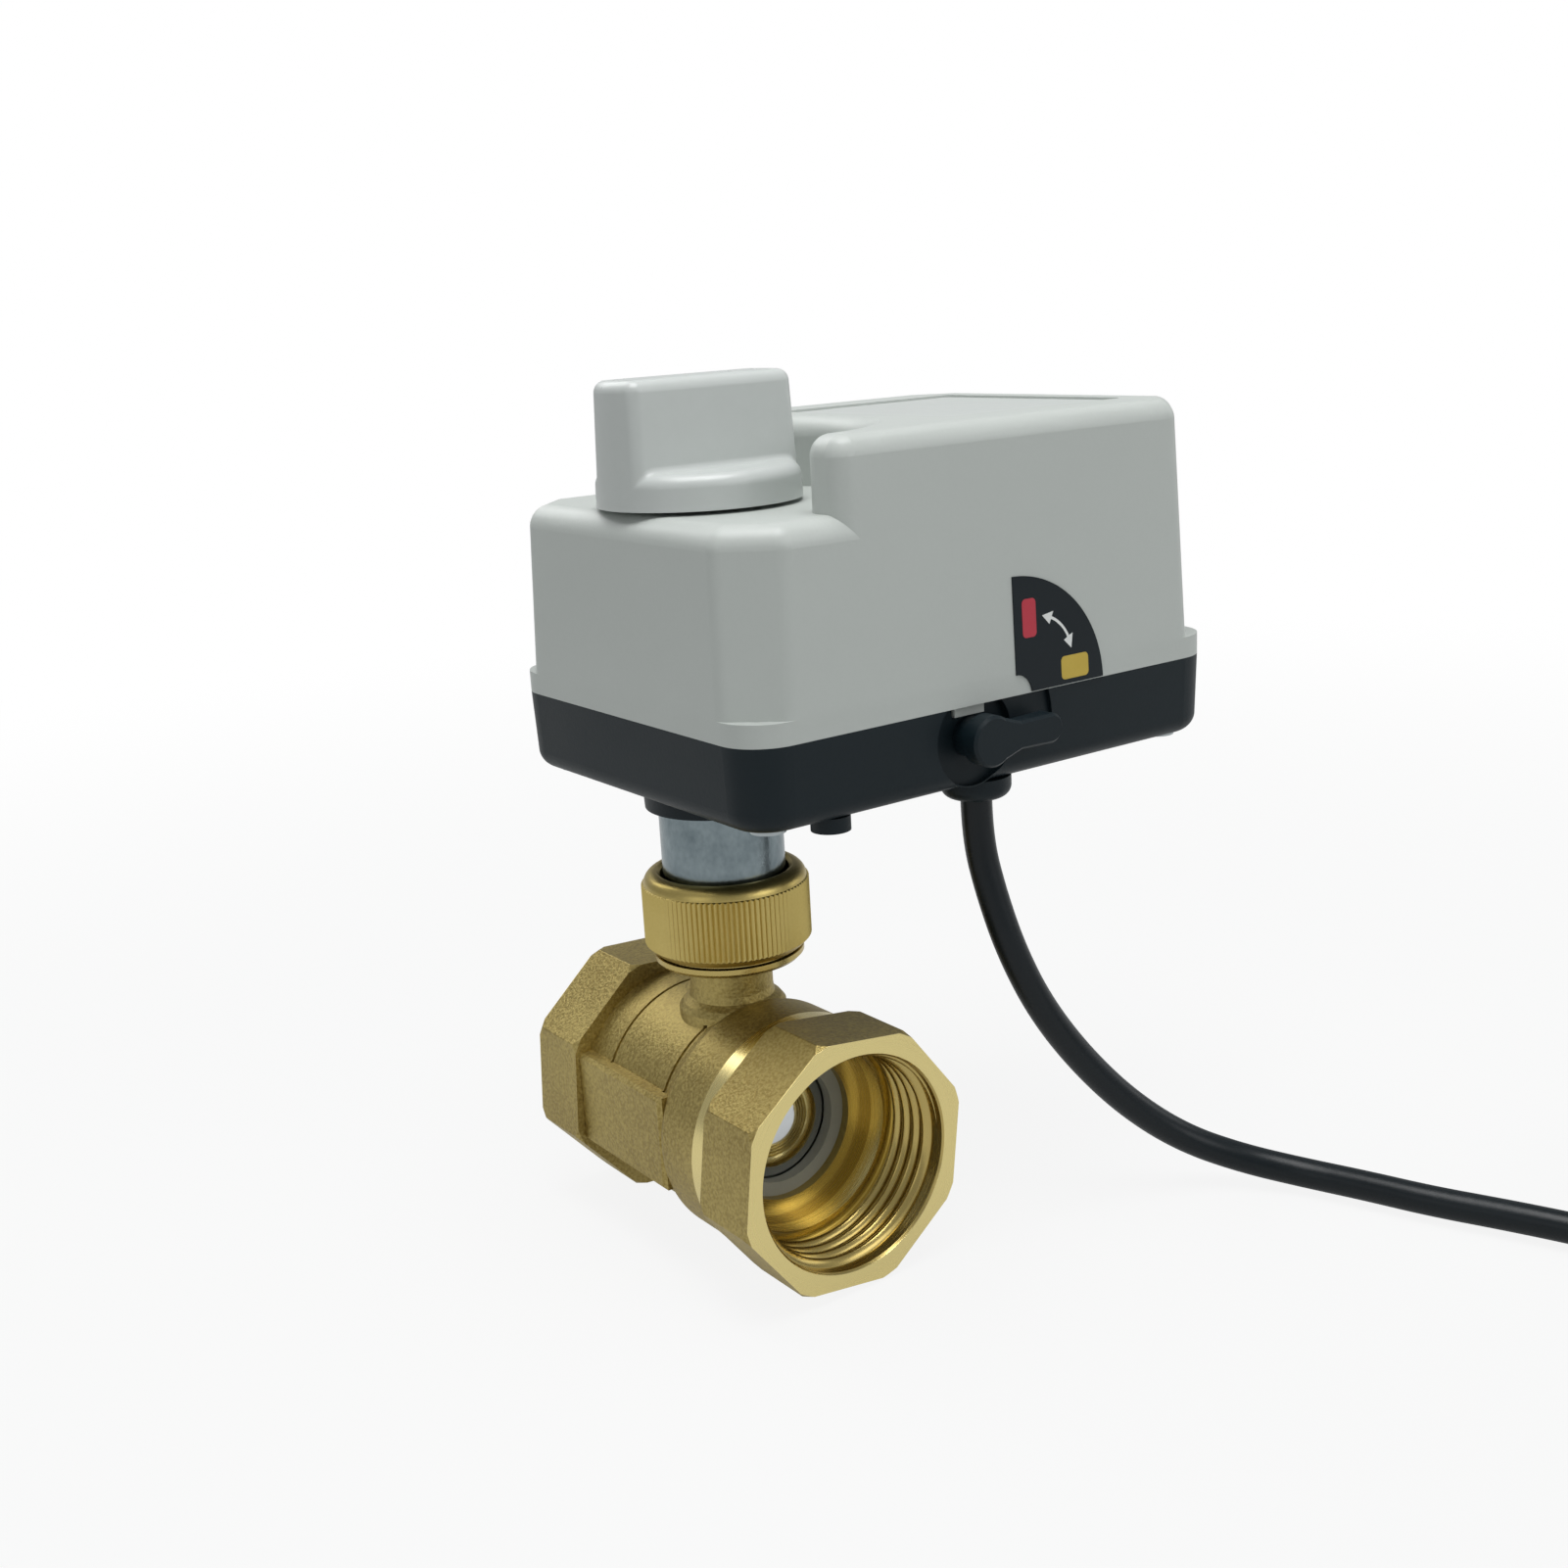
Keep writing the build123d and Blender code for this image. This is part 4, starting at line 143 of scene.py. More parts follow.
@dataclass(frozen=True)
class Finish:
    """A real surface: what it is made of and how it was made.

    Attributes:
        name: Common name of the material, used for the Blender material.
        colour: Main sRGB colour.
        shade: Second sRGB colour, for the grains and the slow drift.
        roughness: Middle roughness.
        grain_mm: Size of the surface grain.
        relief_mm: Height of that grain.
        drift_mm: Size of the slow colour drift.
        metallic: One for bare metal.
        coat: Strength of a clear top layer.
        specular: Strength of the mirror part; one half is a plain plastic's.
        stretch: Grain stretch along X, Y and Z, above one for streaks.
        grain_share: How much of the colour's variation is grain; the rest is drift.
        roughness_spread: How far the roughness varies to each side.
        drift_range: Noise levels where the drift starts and ends.
    """

    name: str
    colour: str
    shade: str
    roughness: float = 0.5
    grain_mm: float = 0.5
    relief_mm: float = 0.01
    drift_mm: float = 25.0
    metallic: float = 0.0
    coat: float = 0.0
    specular: float = 0.5
    stretch: tuple[float, float, float] = (1.0, 1.0, 1.0)
    grain_share: float = 0.5
    roughness_spread: float = 0.06
    drift_range: tuple[float, float] = (0.3, 0.7)

    def material(self) -> bpy.types.Material:
        """Make the finish's material the first time, and find it again after that.

        Returns:
            The material.
        """
        made = bpy.data.materials.get(self.name)
        if made:
            return made
        made = bpy.data.materials.new(self.name)
        made.use_nodes = True
        made.node_tree.nodes.clear()
        self.shade_surface(made.node_tree)
        made.diffuse_color = linear(self.colour)
        return made

    def grain(self, tree: bpy.types.NodeTree, vector: Source) -> bpy.types.Node:
        """Draw the surface grain.

        Args:
            tree: The material's tree.
            vector: Place on the piece.

        Returns:
            The node whose first output is the grain's height, from 0 to 1.
        """
        squeeze = tuple(1 / s for s in self.stretch)
        place = add_node(tree, "ShaderNodeMapping", {"Scale": squeeze}, {"Vector": vector})
        scale = 1 / (self.grain_mm * MM)
        return add_node(tree, "ShaderNodeTexNoise", {"Scale": scale, "Detail": 2.0}, {"Vector": place})

    def speckle(self, tree: bpy.types.NodeTree, vector: Source, grains: Source) -> bpy.types.Node:
        """Join the grains and the slow drift from one side of a piece to the other.

        Args:
            tree: The material's tree.
            vector: Place on the piece.
            grains: The grains, from 0 to 1.

        Returns:
            The node whose output is the share of the second colour, from 0 to 1.
        """
        scale = 1 / (self.drift_mm * MM)
        noise = add_node(tree, "ShaderNodeTexNoise", {"Scale": scale, "Detail": 3.0}, {"Vector": vector})
        start, end = self.drift_range
        drift = add_node(tree, "ShaderNodeMapRange", {"From Min": start, "From Max": end}, {"Value": noise})
        slow = add_node(tree, MATH, {"operation": "MULTIPLY", 1: 1 - self.grain_share}, {0: drift})
        return add_node(tree, MATH, {"operation": "MULTIPLY_ADD", 1: self.grain_share}, {0: grains, 2: slow})

    def tint(self, tree: bpy.types.NodeTree, speckle: Source) -> bpy.types.NodeSocket:
        """Blend the two colours by the speckle."""
        colours = {"data_type": "RGBA", COLOUR_A: linear(self.colour), COLOUR_B: linear(self.shade)}
        return add_node(tree, "ShaderNodeMix", colours, {SHARE: speckle}).outputs[MIXED_COLOUR]

    def satin(self, tree: bpy.types.NodeTree, speckle: Source) -> bpy.types.Node:
        """Vary the roughness with the speckle.

        Args:
            tree: The material's tree.
            speckle: The speckle, from 0 to 1.

        Returns:
            The node whose output is the roughness.
        """
        least = max(SMOOTHEST, self.roughness - self.roughness_spread)
        most = min(1.0, self.roughness + self.roughness_spread)
        return add_node(tree, "ShaderNodeMapRange", {"To Min": least, "To Max": most}, {"Value": speckle})

    def shade_surface(self, tree: bpy.types.NodeTree) -> None:
        """Fill the material's tree for a surface that is alike all over.

        Args:
            tree: The material's tree, empty.
        """
        vector = add_node(tree, "ShaderNodeTexCoord").outputs["Object"]
        height = self.grain(tree, vector)
        speckle = self.speckle(tree, vector, height)
        bump = add_node(tree, "ShaderNodeBump", {"Distance": self.relief_mm * MM}, {"Height": height})
        surface = add_node(
            tree,
            "ShaderNodeBsdfPrincipled",
            {"Metallic": self.metallic, "Coat Weight": self.coat, "Coat Roughness": COAT_ROUGHNESS,
             "Specular IOR Level": self.specular},
            {"Base Color": self.tint(tree, speckle), "Roughness": self.satin(tree, speckle), "Normal": bump},
        )
        add_node(tree, "ShaderNodeOutputMaterial", links={"Surface": surface})


@dataclass(frozen=True)
class CastAndTurned(Finish):
    """Blasted forging with turned faces: dull grains outside, bright tool marks in the bores and on the ends,
    and a painted highlight on the ends.

    Attributes:
        turned_colour: Colour of the freshly cut metal in the bores.
        ends_highlight_colour: A lighter gold on the end faces and the collar than on the other cut metal, a
            painted highlight.
        turned_roughness: Roughness of the cut metal.
        turned_spread: How far the tool marks take that roughness down and up.
        feed_mm: Distance between tool marks.
        mark_relief: Height of the tool marks as a share of the grain's.
        grain_range: Noise levels between which the grains go from one colour to the other.
        bore_mm: Radius within which everything is turned, about the pipe's axis.
        end_faces_mm: Places along the pipe of the turned end faces.
        collar_mm: Stretch along the pipe of the end cap's turned collar.
        collar_radius_mm: Radius that the collar stays within.
        bonnet_mm: Height above which everything is turned.
    """

    turned_colour: str = "BDA868"
    # Painted highlight: the lighter gold of the end faces and the collar.
    ends_highlight_colour: str = "EAD896"
    turned_roughness: float = 0.24
    turned_spread: tuple[float, float] = (-0.06, 0.1)
    feed_mm: float = 0.35
    mark_relief: float = 0.12
    grain_range: tuple[float, float] = (0.36, 0.64)
    bore_mm: float = 16.95
    end_faces_mm: tuple[float, float] = (0.08, FACE_TO_FACE - 0.08)
    collar_mm: tuple[float, float] = (12.22, 15.42)
    collar_radius_mm: float = 19.0
    bonnet_mm: float = 25.2
    grain_share: float = 0.6
    roughness_spread: float = 0.08

    def turned_shares(
        self,
        tree: bpy.types.NodeTree,
        y: Source,
        z: Source,
        radius: Source,
    ) -> tuple[bpy.types.Node, bpy.types.Node]:
        """Tell turned places from blasted ones.

        Args:
            tree: The material's tree.
            y: Place along the pipe.
            z: Height.
            radius: Distance from the pipe's axis.

        Returns:
            A node that gives one where the metal is turned, and one that gives one on the end faces and the
            collar, where the painted highlight goes, else zero.
        """
        tests = (
            ("in the bore", "LESS_THAN", radius, self.bore_mm),
            ("front face", "LESS_THAN", y, self.end_faces_mm[0]),
            ("rear face", "GREATER_THAN", y, self.end_faces_mm[1]),
            ("bonnet", "GREATER_THAN", z, self.bonnet_mm),
            ("past the octagon", "GREATER_THAN", y, self.collar_mm[0]),
            ("before the body", "LESS_THAN", y, self.collar_mm[1]),
            ("round stock", "LESS_THAN", radius, self.collar_radius_mm),
        )
        unions = (
            ("beside the octagon", "MULTIPLY", "past the octagon", "before the body"),
            ("collar", "MULTIPLY", "beside the octagon", "round stock"),
            ("end faces", "MAXIMUM", "front face", "rear face"),
            ("ends", "MAXIMUM", "end faces", "collar"),
            ("bore and ends", "MAXIMUM", "in the bore", "ends"),
            ("turned", "MAXIMUM", "bore and ends", "bonnet"),
        )
        shares = {}
        for name, operation, place, limit in tests:
            shares[name] = add_node(tree, MATH, {"operation": operation, 1: limit * MM}, {0: place})
        for name, operation, first, second in unions:
            shares[name] = add_node(tree, MATH, {"operation": operation},
                                    {0: shares[first], 1: shares[second]})
        return shares["turned"], shares["ends"]

    def shade_surface(self, tree: bpy.types.NodeTree) -> None:
        """Fill the material's tree with both surfaces and what parts them.

        Args:
            tree: The material's tree, empty.
        """
        vector = add_node(tree, "ShaderNodeTexCoord").outputs["Object"]
        x, y, z = add_node(tree, "ShaderNodeSeparateXYZ", links={0: vector}).outputs
        squares = [add_node(tree, MATH, {"operation": "POWER", 1: 2.0}, {0: side}) for side in (x, z)]
        both = add_node(tree, MATH, {"operation": "ADD"}, {0: squares[0], 1: squares[1]})
        radius = add_node(tree, MATH, {"operation": "SQRT"}, {0: both})
        turned, ends = self.turned_shares(tree, y, z, radius)

        rings = add_node(tree, "ShaderNodeCombineXYZ", links={0: radius, 1: y})
        scale = 1 / (self.feed_mm * MM)
        marks = add_node(tree, "ShaderNodeTexNoise", {"Scale": scale, "Detail": 1.0}, {"Vector": rings})
        height = self.grain(tree, vector)
        start, end = self.grain_range
        grains = add_node(tree, "ShaderNodeMapRange", {"From Min": start, "From Max": end}, {"Value": height})
        speckle = self.speckle(tree, vector, grains)

        tint = self.tint(tree, speckle)
        # The turned places get the cut metal's colour, then the end faces and collar get a lighter gold over
        # it: a painted highlight.
        for share, colour in ((turned, self.turned_colour), (ends, self.ends_highlight_colour)):
            cut = add_node(tree, "ShaderNodeMix", {"data_type": "RGBA", COLOUR_B: linear(colour)},
                           {SHARE: share, COLOUR_A: tint})
            tint = cut.outputs[MIXED_COLOUR]
        least, most = (self.turned_roughness + step for step in self.turned_spread)
        bright = add_node(tree, "ShaderNodeMapRange", {"To Min": least, "To Max": most}, {"Value": marks})
        rough = add_node(tree, "ShaderNodeMix",
                         links={SHARE: turned, NUMBER_A: self.satin(tree, speckle), NUMBER_B: bright})
        faint = add_node(tree, MATH, {"operation": "MULTIPLY", 1: self.mark_relief}, {0: marks})
        relief = add_node(tree, "ShaderNodeMix", links={SHARE: turned, NUMBER_A: height, NUMBER_B: faint})
        bump = add_node(tree, "ShaderNodeBump", {"Distance": self.relief_mm * MM}, {"Height": relief})
        surface = add_node(tree, "ShaderNodeBsdfPrincipled", {"Metallic": self.metallic},
                           {"Base Color": tint, "Roughness": rough, "Normal": bump})
        add_node(tree, "ShaderNodeOutputMaterial", links={"Surface": surface})


# Each finish gives its roughness, then grain, relief and drift in millimetres, then one for bare metal. Grain
# that is really finer than a quarter of a millimetre is drawn coarser, because it wouldn't show.

# Forged brass, shot-blasted: dull olive gold with a visible grain, bright gold where it was turned, and a
# painted highlight on the turned end faces and collar.
FORGED_BRASS = CastAndTurned(
    "forged brass, blasted and turned", "8E7B46", "C0AE70", 0.49, 0.5, 0.11, 18.0, 1.0,
)
# Turned and knurled brass: brighter gold, satin from the tool.
KNURLED_BRASS = Finish("knurled brass, satin", "B9A45F", "D0BC78", 0.36, 0.40, 0.02, 12.0, 1.0)
# Free-cutting brass: bright gold with fine tool marks round it.
TURNED_BRASS = Finish(
    "turned brass", "CDB266", "DCC47A", 0.26, 0.35, 0.006, 15.0, 1.0, stretch=(1.0, 1.0, 0.2),
)
# Hard chrome over brass: mirror bright.
CHROME = Finish("hard chrome", "D9DBDC", "CDD0D2", 0.07, 0.8, 0.001, 10.0, 1.0)
# Filled PTFE: waxy mid grey.
PTFE = Finish("filled PTFE", "A4A498", "98988C", 0.42, 0.5, 0.006, 8.0)
# Blue passivated zinc on drawn steel tube: bluish grey with crystals drawn out along the tube.
ZINC_TUBE = Finish(
    "zinc plated steel tube", "58656B", "9AA6AA", 0.24, 0.75, 0.03, 6.0, 1.0, stretch=(1.0, 1.0, 1.6),
)
# Zinc plated sheet and screws: the same plating, finer and lighter.
ZINC_SHEET = Finish("zinc plated sheet steel", "A9B0B2", "BCC3C5", 0.36, 0.6, 0.008, 9.0, 1.0)
# Drawn stainless bar: satin with lines along it.
STAINLESS = Finish(
    "stainless steel bar", "B6B6B3", "C4C4C1", 0.28, 0.4, 0.006, 12.0, 1.0, stretch=(1.0, 1.0, 4.0),
)
# Moulded ABS, light grey, from a finely eroded tool: soft sheen and hardly any grain.
GREY_ABS = Finish("moulded ABS, light grey", "BDC2BE", "B8BDB9", 0.40, 0.55, 0.010, 40.0)
# The same ABS polished a little by hands: its grain is worn to a faint, wide unevenness.
GREY_KNOB_ABS = Finish("moulded ABS, light grey, handled", "C5C9C7", "BEC3C0", 0.30, 1.8, 0.003, 20.0)
# Moulded ABS, blue-black: satin, picks up a grey sheen on its edges.
BLACK_ABS = Finish("moulded ABS, blue-black", "0C181D", "101D23", 0.46, 0.5, 0.014, 30.0, specular=0.24)
# Extruded PVC cable sheath: smooth, with a low gloss and slow waves from the die.
PVC_SHEATH = Finish("extruded PVC sheath", "060F14", "0A1419", 0.36, 1.2, 0.020, 14.0, specular=0.3)
# Printed vinyl film: smooth, a little glossier than the case, in the label's four inks.
VINYL_BLACK = Finish("vinyl film, black", "09141A", "0C181E", 0.32, 0.8, 0.003, 12.0, specular=0.26)
VINYL_RED = Finish("vinyl film, signal red", "BE3143", "B52C3D", 0.34, 0.8, 0.003, 5.0)
VINYL_YELLOW = Finish("vinyl film, yellow", "C9AE46", "C0A43E", 0.34, 0.8, 0.003, 5.0)
VINYL_WHITE = Finish("vinyl film, white", "E6E8E6", "DFE2E0", 0.34, 0.8, 0.003, 5.0)
# Bare nameplate film: the case's grey, a shade lighter and glossier, almost flat.
PLATE_FILM = Finish("polyester film, silver grey", "C3C7C4", "BBC0BD", 0.34, 1.6, 0.001, 20.0)
# Nitrile rubber: matt black.
RUBBER = Finish("nitrile rubber", "17181A", "1D1E20", 0.70, 0.5, 0.010, 10.0)
# Pressed fibre: dull green sheet.
FIBRE = Finish("pressed fibre", "3E5A4C", "4B6858", 0.80, 0.4, 0.020, 6.0)
# Natural acetal gears and cams: milky white, waxy.
NYLON = Finish("natural acetal", "DDD9CB", "D3CEBE", 0.38, 0.5, 0.008, 12.0)
# Solder mask over glass-fibre board: dark green under a clear gloss.
SOLDER_MASK = Finish("solder mask on glass-fibre board", "1B5A35", "174E2E", 0.30, 0.6, 0.012, 8.0, coat=0.4)
# Thermoset switch case: hard satin black.
SWITCH_CASE = Finish("thermoset switch case", "1B1B1E", "222226", 0.48, 0.4, 0.012, 8.0)
# Small coloured mouldings: glossy red buttons, a satin green block, a smooth yellow capacitor.
RED_ACETAL = Finish("red acetal", "A8241E", "9C201B", 0.30, 0.4, 0.004, 4.0)
GREEN_POLYAMIDE = Finish("green polyamide", "2C7A4A", "276E42", 0.42, 0.4, 0.008, 8.0)
YELLOW_FILM = Finish("yellow polypropylene case", "C99E2E", "BE9428", 0.34, 0.5, 0.006, 8.0)
# Extruded PVC insulation: smooth, with a soft gloss.
BROWN_PVC = Finish("brown PVC insulation", "5A3420", "522F1C", 0.36, 0.6, 0.010, 5.0)
BLUE_PVC = Finish("blue PVC insulation", "1F4C96", "1B4488", 0.36, 0.6, 0.010, 5.0)
BLACK_PVC = Finish("black PVC insulation", "15161A", "1A1B20", 0.36, 0.6, 0.010, 5.0)
# Bare copper strands, twisted: salmon, a little dull.
BARE_COPPER = Finish("bare copper strands", "C27B52", "A9643E", 0.30, 0.25, 0.010, 3.0, 1.0)


@dataclass
class Builder:
    """What every sub-assembly needs: the frame's nodes and the ways to dress them and add to them.

    Attributes:
        nodes: The frame's nodes by name.
        title: What the log calls the sub-assembly.
    """

    nodes: dict[str, bpy.types.Object]
    title: str = "part"

    def dress(self, finish: Finish, *names: str) -> None:
        """Give CAD nodes a finish.

        Args:
            finish: The finish.
            names: The nodes' names.
        """
        for name in names:
            mesh = self.nodes[name].data
            mesh.materials.clear()
            mesh.materials.append(finish.material())

    def piece(self, name: str, mesh: bpy.types.Mesh, finish: Finish, slot: Slot) -> bpy.types.Object:
        """Link a mesh as a piece of the body that stands still.

        Args:
            name: The piece's name.
            mesh: Its mesh, in place.
            finish: Its finish.
            slot: The material slot that it stands for; not used.

        Returns:
            The new object.
        """
        mesh.materials.clear()
        mesh.materials.append(finish.material())
        obj = bpy.data.objects.new(name, mesh)
        bpy.context.scene.collection.objects.link(obj)
        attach(obj, FIXED_BODY)
        LOG.info("%s: %s, %d faces", self.title, name, len(mesh.polygons))
        return obj

    def build(self) -> None:
        """Dress and add the sub-assembly's pieces."""
        raise NotImplementedError


def slab(name: str, outline: list[tuple[float, float]], place: Matrix, thick: float) -> bpy.types.Mesh:
    """Make a flat slab from an outline.

    Args:
        name: The mesh's name.
        outline: Corners in millimetres, counter-clockwise.
        place: Where the slab's plane is, in metres; its Z is the way it gets thick.
        thick: Thickness in millimetres.

    Returns:
        A closed mesh with its faces outwards.
    """
    mesh, shape = bpy.data.meshes.new(name), bmesh.new()
    low = [shape.verts.new(place @ Vector((x * MM, y * MM, 0))) for x, y in outline]
    high = [shape.verts.new(place @ Vector((x * MM, y * MM, thick * MM))) for x, y in outline]
    shape.faces.new(list(reversed(low)))
    shape.faces.new(high)
    for i in range(len(outline)):
        j = (i + 1) % len(outline)
        shape.faces.new((low[i], low[j], high[j], high[i]))
    bmesh.ops.recalc_face_normals(shape, faces=shape.faces)
    shape.to_mesh(mesh)
    shape.free()
    return mesh


def rounded(
    centre: tuple[float, float],
    width: float,
    height: float,
    corner: float,
) -> list[tuple[float, float]]:
    """List the corners of a rectangle with round corners.

    Args:
        centre: Its middle.
        width: Its full width.
        height: Its full height.
        corner: Corner radius.

    Returns:
        Points counter-clockwise.
    """
    points = []
    for turn, (sx, sy) in enumerate(((1, 1), (-1, 1), (-1, -1), (1, -1))):
        for step in range(CORNER_STEPS + 1):
            angle = math.radians(90 * turn + 90 / CORNER_STEPS * step)
            points.append((centre[0] + sx * (width / 2 - corner) + corner * math.cos(angle),
                           centre[1] + sy * (height / 2 - corner) + corner * math.sin(angle)))
    return points


class GrowTree:
    """A Geometry Nodes tree with named number inputs, and the way to run it once."""

    def __init__(self, name: str, inputs: dict[str, float], material: bpy.types.Material) -> None:
        """Start the tree.

        Args:
            name: The tree's name.
            inputs: The sizes that it takes, by name.
            material: What its result is made of.
        """
        self.inputs, self.material = inputs, material
        self.tree = bpy.data.node_groups.new(name, "GeometryNodeTree")
        self.tree.interface.new_socket("Geometry", in_out="OUTPUT", socket_type="NodeSocketGeometry")
        self.sockets = {
            key: self.tree.interface.new_socket(key, in_out="INPUT", socket_type="NodeSocketFloat")
            for key in inputs
        }
        self.group = add_node(self.tree, "NodeGroupInput")

    def __getitem__(self, key: str) -> bpy.types.NodeSocket:
        """Return the socket of one named input."""
        return self.group.outputs[key]

    def grow(self, geometry: bpy.types.Node) -> bpy.types.Mesh:
        """Close the tree on its last geometry, run it once and keep the result as a plain mesh.

        Args:
            geometry: The node that the tree's geometry ends with.

        Returns:
            The result as a plain mesh.
        """
        real = add_node(self.tree, "GeometryNodeRealizeInstances", links={0: geometry})
        made = add_node(self.tree, "GeometryNodeSetMaterial", {"Material": self.material}, {0: real})
        add_node(self.tree, "NodeGroupOutput", links={0: made})
        name = self.tree.name
        holder = bpy.data.objects.new(name, bpy.data.meshes.new(name))
        bpy.context.scene.collection.objects.link(holder)
        modifier = holder.modifiers.new(name, "NODES")
        modifier.node_group = self.tree
        for key, value in self.inputs.items():
            modifier[self.sockets[key].identifier] = value
        bpy.context.view_layer.update()
        graph = bpy.context.evaluated_depsgraph_get()
        mesh = bpy.data.meshes.new_from_object(holder.evaluated_get(graph))
        mesh.name = name
        bpy.data.objects.remove(holder)
        return mesh


@dataclass(frozen=True)
class ThreadForm:
    """A one-inch parallel pipe thread cut in a port.

    Attributes:
        wall_mm: Radius of the bore's wall, at the thread's roots.
        pitch_mm: Distance from turn to turn, eleven to the inch.
        depth_mm: How far the crests stand in from the wall.
        half_width_mm: Half of a ridge's foot.
        turns: Number of turns.
        rise: How fast the ridge rises from nothing at its start, in full heights a turn.
        fall: How fast it runs out at its end.
        crest_taper: How much narrower the crest is than the foot, as a share.
        turn_steps: Rings of points in a turn.
        section_points: Points round the ridge's section, the last on the first.
        weld_mm: Distance within which the section's two ends are joined.
    """

    wall_mm: float = 16.64
    pitch_mm: float = 2.309
    depth_mm: float = 1.15
    half_width_mm: float = 1.05
    turns: float = 4.6
    rise: float = 3.0
    fall: float = 1.6
    crest_taper: float = 0.45
    turn_steps: int = 72
    section_points: int = 13
    weld_mm: float = 0.002

    def place_on_ridge(self, grow: GrowTree) -> bpy.types.Node:
        """Work out where each point of a grid goes on the ridge.

        The grid is one metre square about its middle: its X becomes the way along the thread and its Y the
        way round the ridge's section.

        Args:
            grow: The thread's tree.

        Returns:
            The node whose output is the point's place.
        """
        tree = grow.tree
        position = add_node(tree, "GeometryNodeInputPosition")
        spot = add_node(tree, "ShaderNodeSeparateXYZ", links={0: position})
        along, across = (add_node(tree, MATH, {"operation": "ADD", 1: 0.5}, {0: side})
                         for side in spot.outputs[:2])
        around = add_node(tree, MATH, {"operation": "MULTIPLY", 1: FULL_TURN}, {0: across})
        cosine = add_node(tree, MATH, {"operation": "COSINE"}, {0: around})
        sine = add_node(tree, MATH, {"operation": "SINE"}, {0: around})
        turned = add_node(tree, MATH, {"operation": "MULTIPLY"}, {0: along, 1: grow["Turns"]})
        angle = add_node(tree, MATH, {"operation": "MULTIPLY", 1: FULL_TURN}, {0: turned})

        risen = add_node(tree, MATH, {"operation": "MULTIPLY", 1: self.rise}, {0: turned})
        ahead = add_node(tree, MATH, {"operation": "SUBTRACT"}, {0: grow["Turns"], 1: turned})
        falling = add_node(tree, MATH, {"operation": "MULTIPLY", 1: self.fall}, {0: ahead})
        lower = add_node(tree, MATH, {"operation": "MINIMUM"}, {0: risen, 1: falling})
        fade = add_node(tree, MATH, {"operation": "MINIMUM", 1: 1.0}, {0: lower})

        height = add_node(tree, MATH, {"operation": "MULTIPLY"}, {0: fade, 1: grow["Depth"]})
        crest = add_node(tree, MATH, {"operation": "MULTIPLY"}, {0: cosine, 1: height})
        radius = add_node(tree, MATH, {"operation": "SUBTRACT"}, {0: grow["Wall radius"], 1: crest})
        taper = add_node(tree, MATH, {"operation": "MULTIPLY_ADD", 1: -self.crest_taper, 2: 1.0}, {0: cosine})
        slim = add_node(tree, MATH, {"operation": "MULTIPLY"}, {0: sine, 1: taper})
        width = add_node(tree, MATH, {"operation": "MULTIPLY"}, {0: fade, 1: grow["Half width"]})
        breadth = add_node(tree, MATH, {"operation": "MULTIPLY"}, {0: slim, 1: width})
        middle = add_node(tree, MATH, {"operation": "MULTIPLY_ADD"},
                          {0: turned, 1: grow["Pitch"], 2: grow["Start"]})
        place = {1: add_node(tree, MATH, {"operation": "ADD"}, {0: middle, 1: breadth})}
        for side, operation in ((0, "COSINE"), (2, "SINE")):
            swing = add_node(tree, MATH, {"operation": operation}, {0: angle})
            place[side] = add_node(tree, MATH, {"operation": "MULTIPLY"}, {0: radius, 1: swing})
        return add_node(tree, "ShaderNodeCombineXYZ", links=place)

    def mesh(self, name: str, start_mm: float, way: int) -> bpy.types.Mesh:
        """Grow the thread's ridge.

        Args:
            name: The piece's name.
            start_mm: Where the first turn's middle is along the pipe.
            way: One for a thread that runs along +Y, minus one for one that runs back.

        Returns:
            A closed ridge that winds round the wall.
        """
        sizes = {
            "Wall radius": self.wall_mm * MM,
            "Pitch": self.pitch_mm * MM * way,
            "Depth": self.depth_mm * MM,
            "Half width": self.half_width_mm * MM,
            "Turns": self.turns,
            "Start": start_mm * MM,
        }
        grow = GrowTree(name, sizes, FORGED_BRASS.material())
        tree = grow.tree
        counts = {"Vertices X": int(self.turn_steps * self.turns), "Vertices Y": self.section_points}
        sheet = add_node(tree, "GeometryNodeMeshGrid", counts)
        place = self.place_on_ridge(grow)
        wound = add_node(tree, "GeometryNodeSetPosition", links={"Geometry": sheet, "Position": place})
        weld = {"Distance": self.weld_mm * MM}
        joined = add_node(tree, "GeometryNodeMergeByDistance", weld, {"Geometry": wound})
        mesh = grow.grow(add_node(tree, "GeometryNodeSetShadeSmooth", links={0: joined}))
        shape = bmesh.new()
        shape.from_mesh(mesh)
        bmesh.ops.recalc_face_normals(shape, faces=shape.faces)
        shape.to_mesh(mesh)
        shape.free()
        return mesh


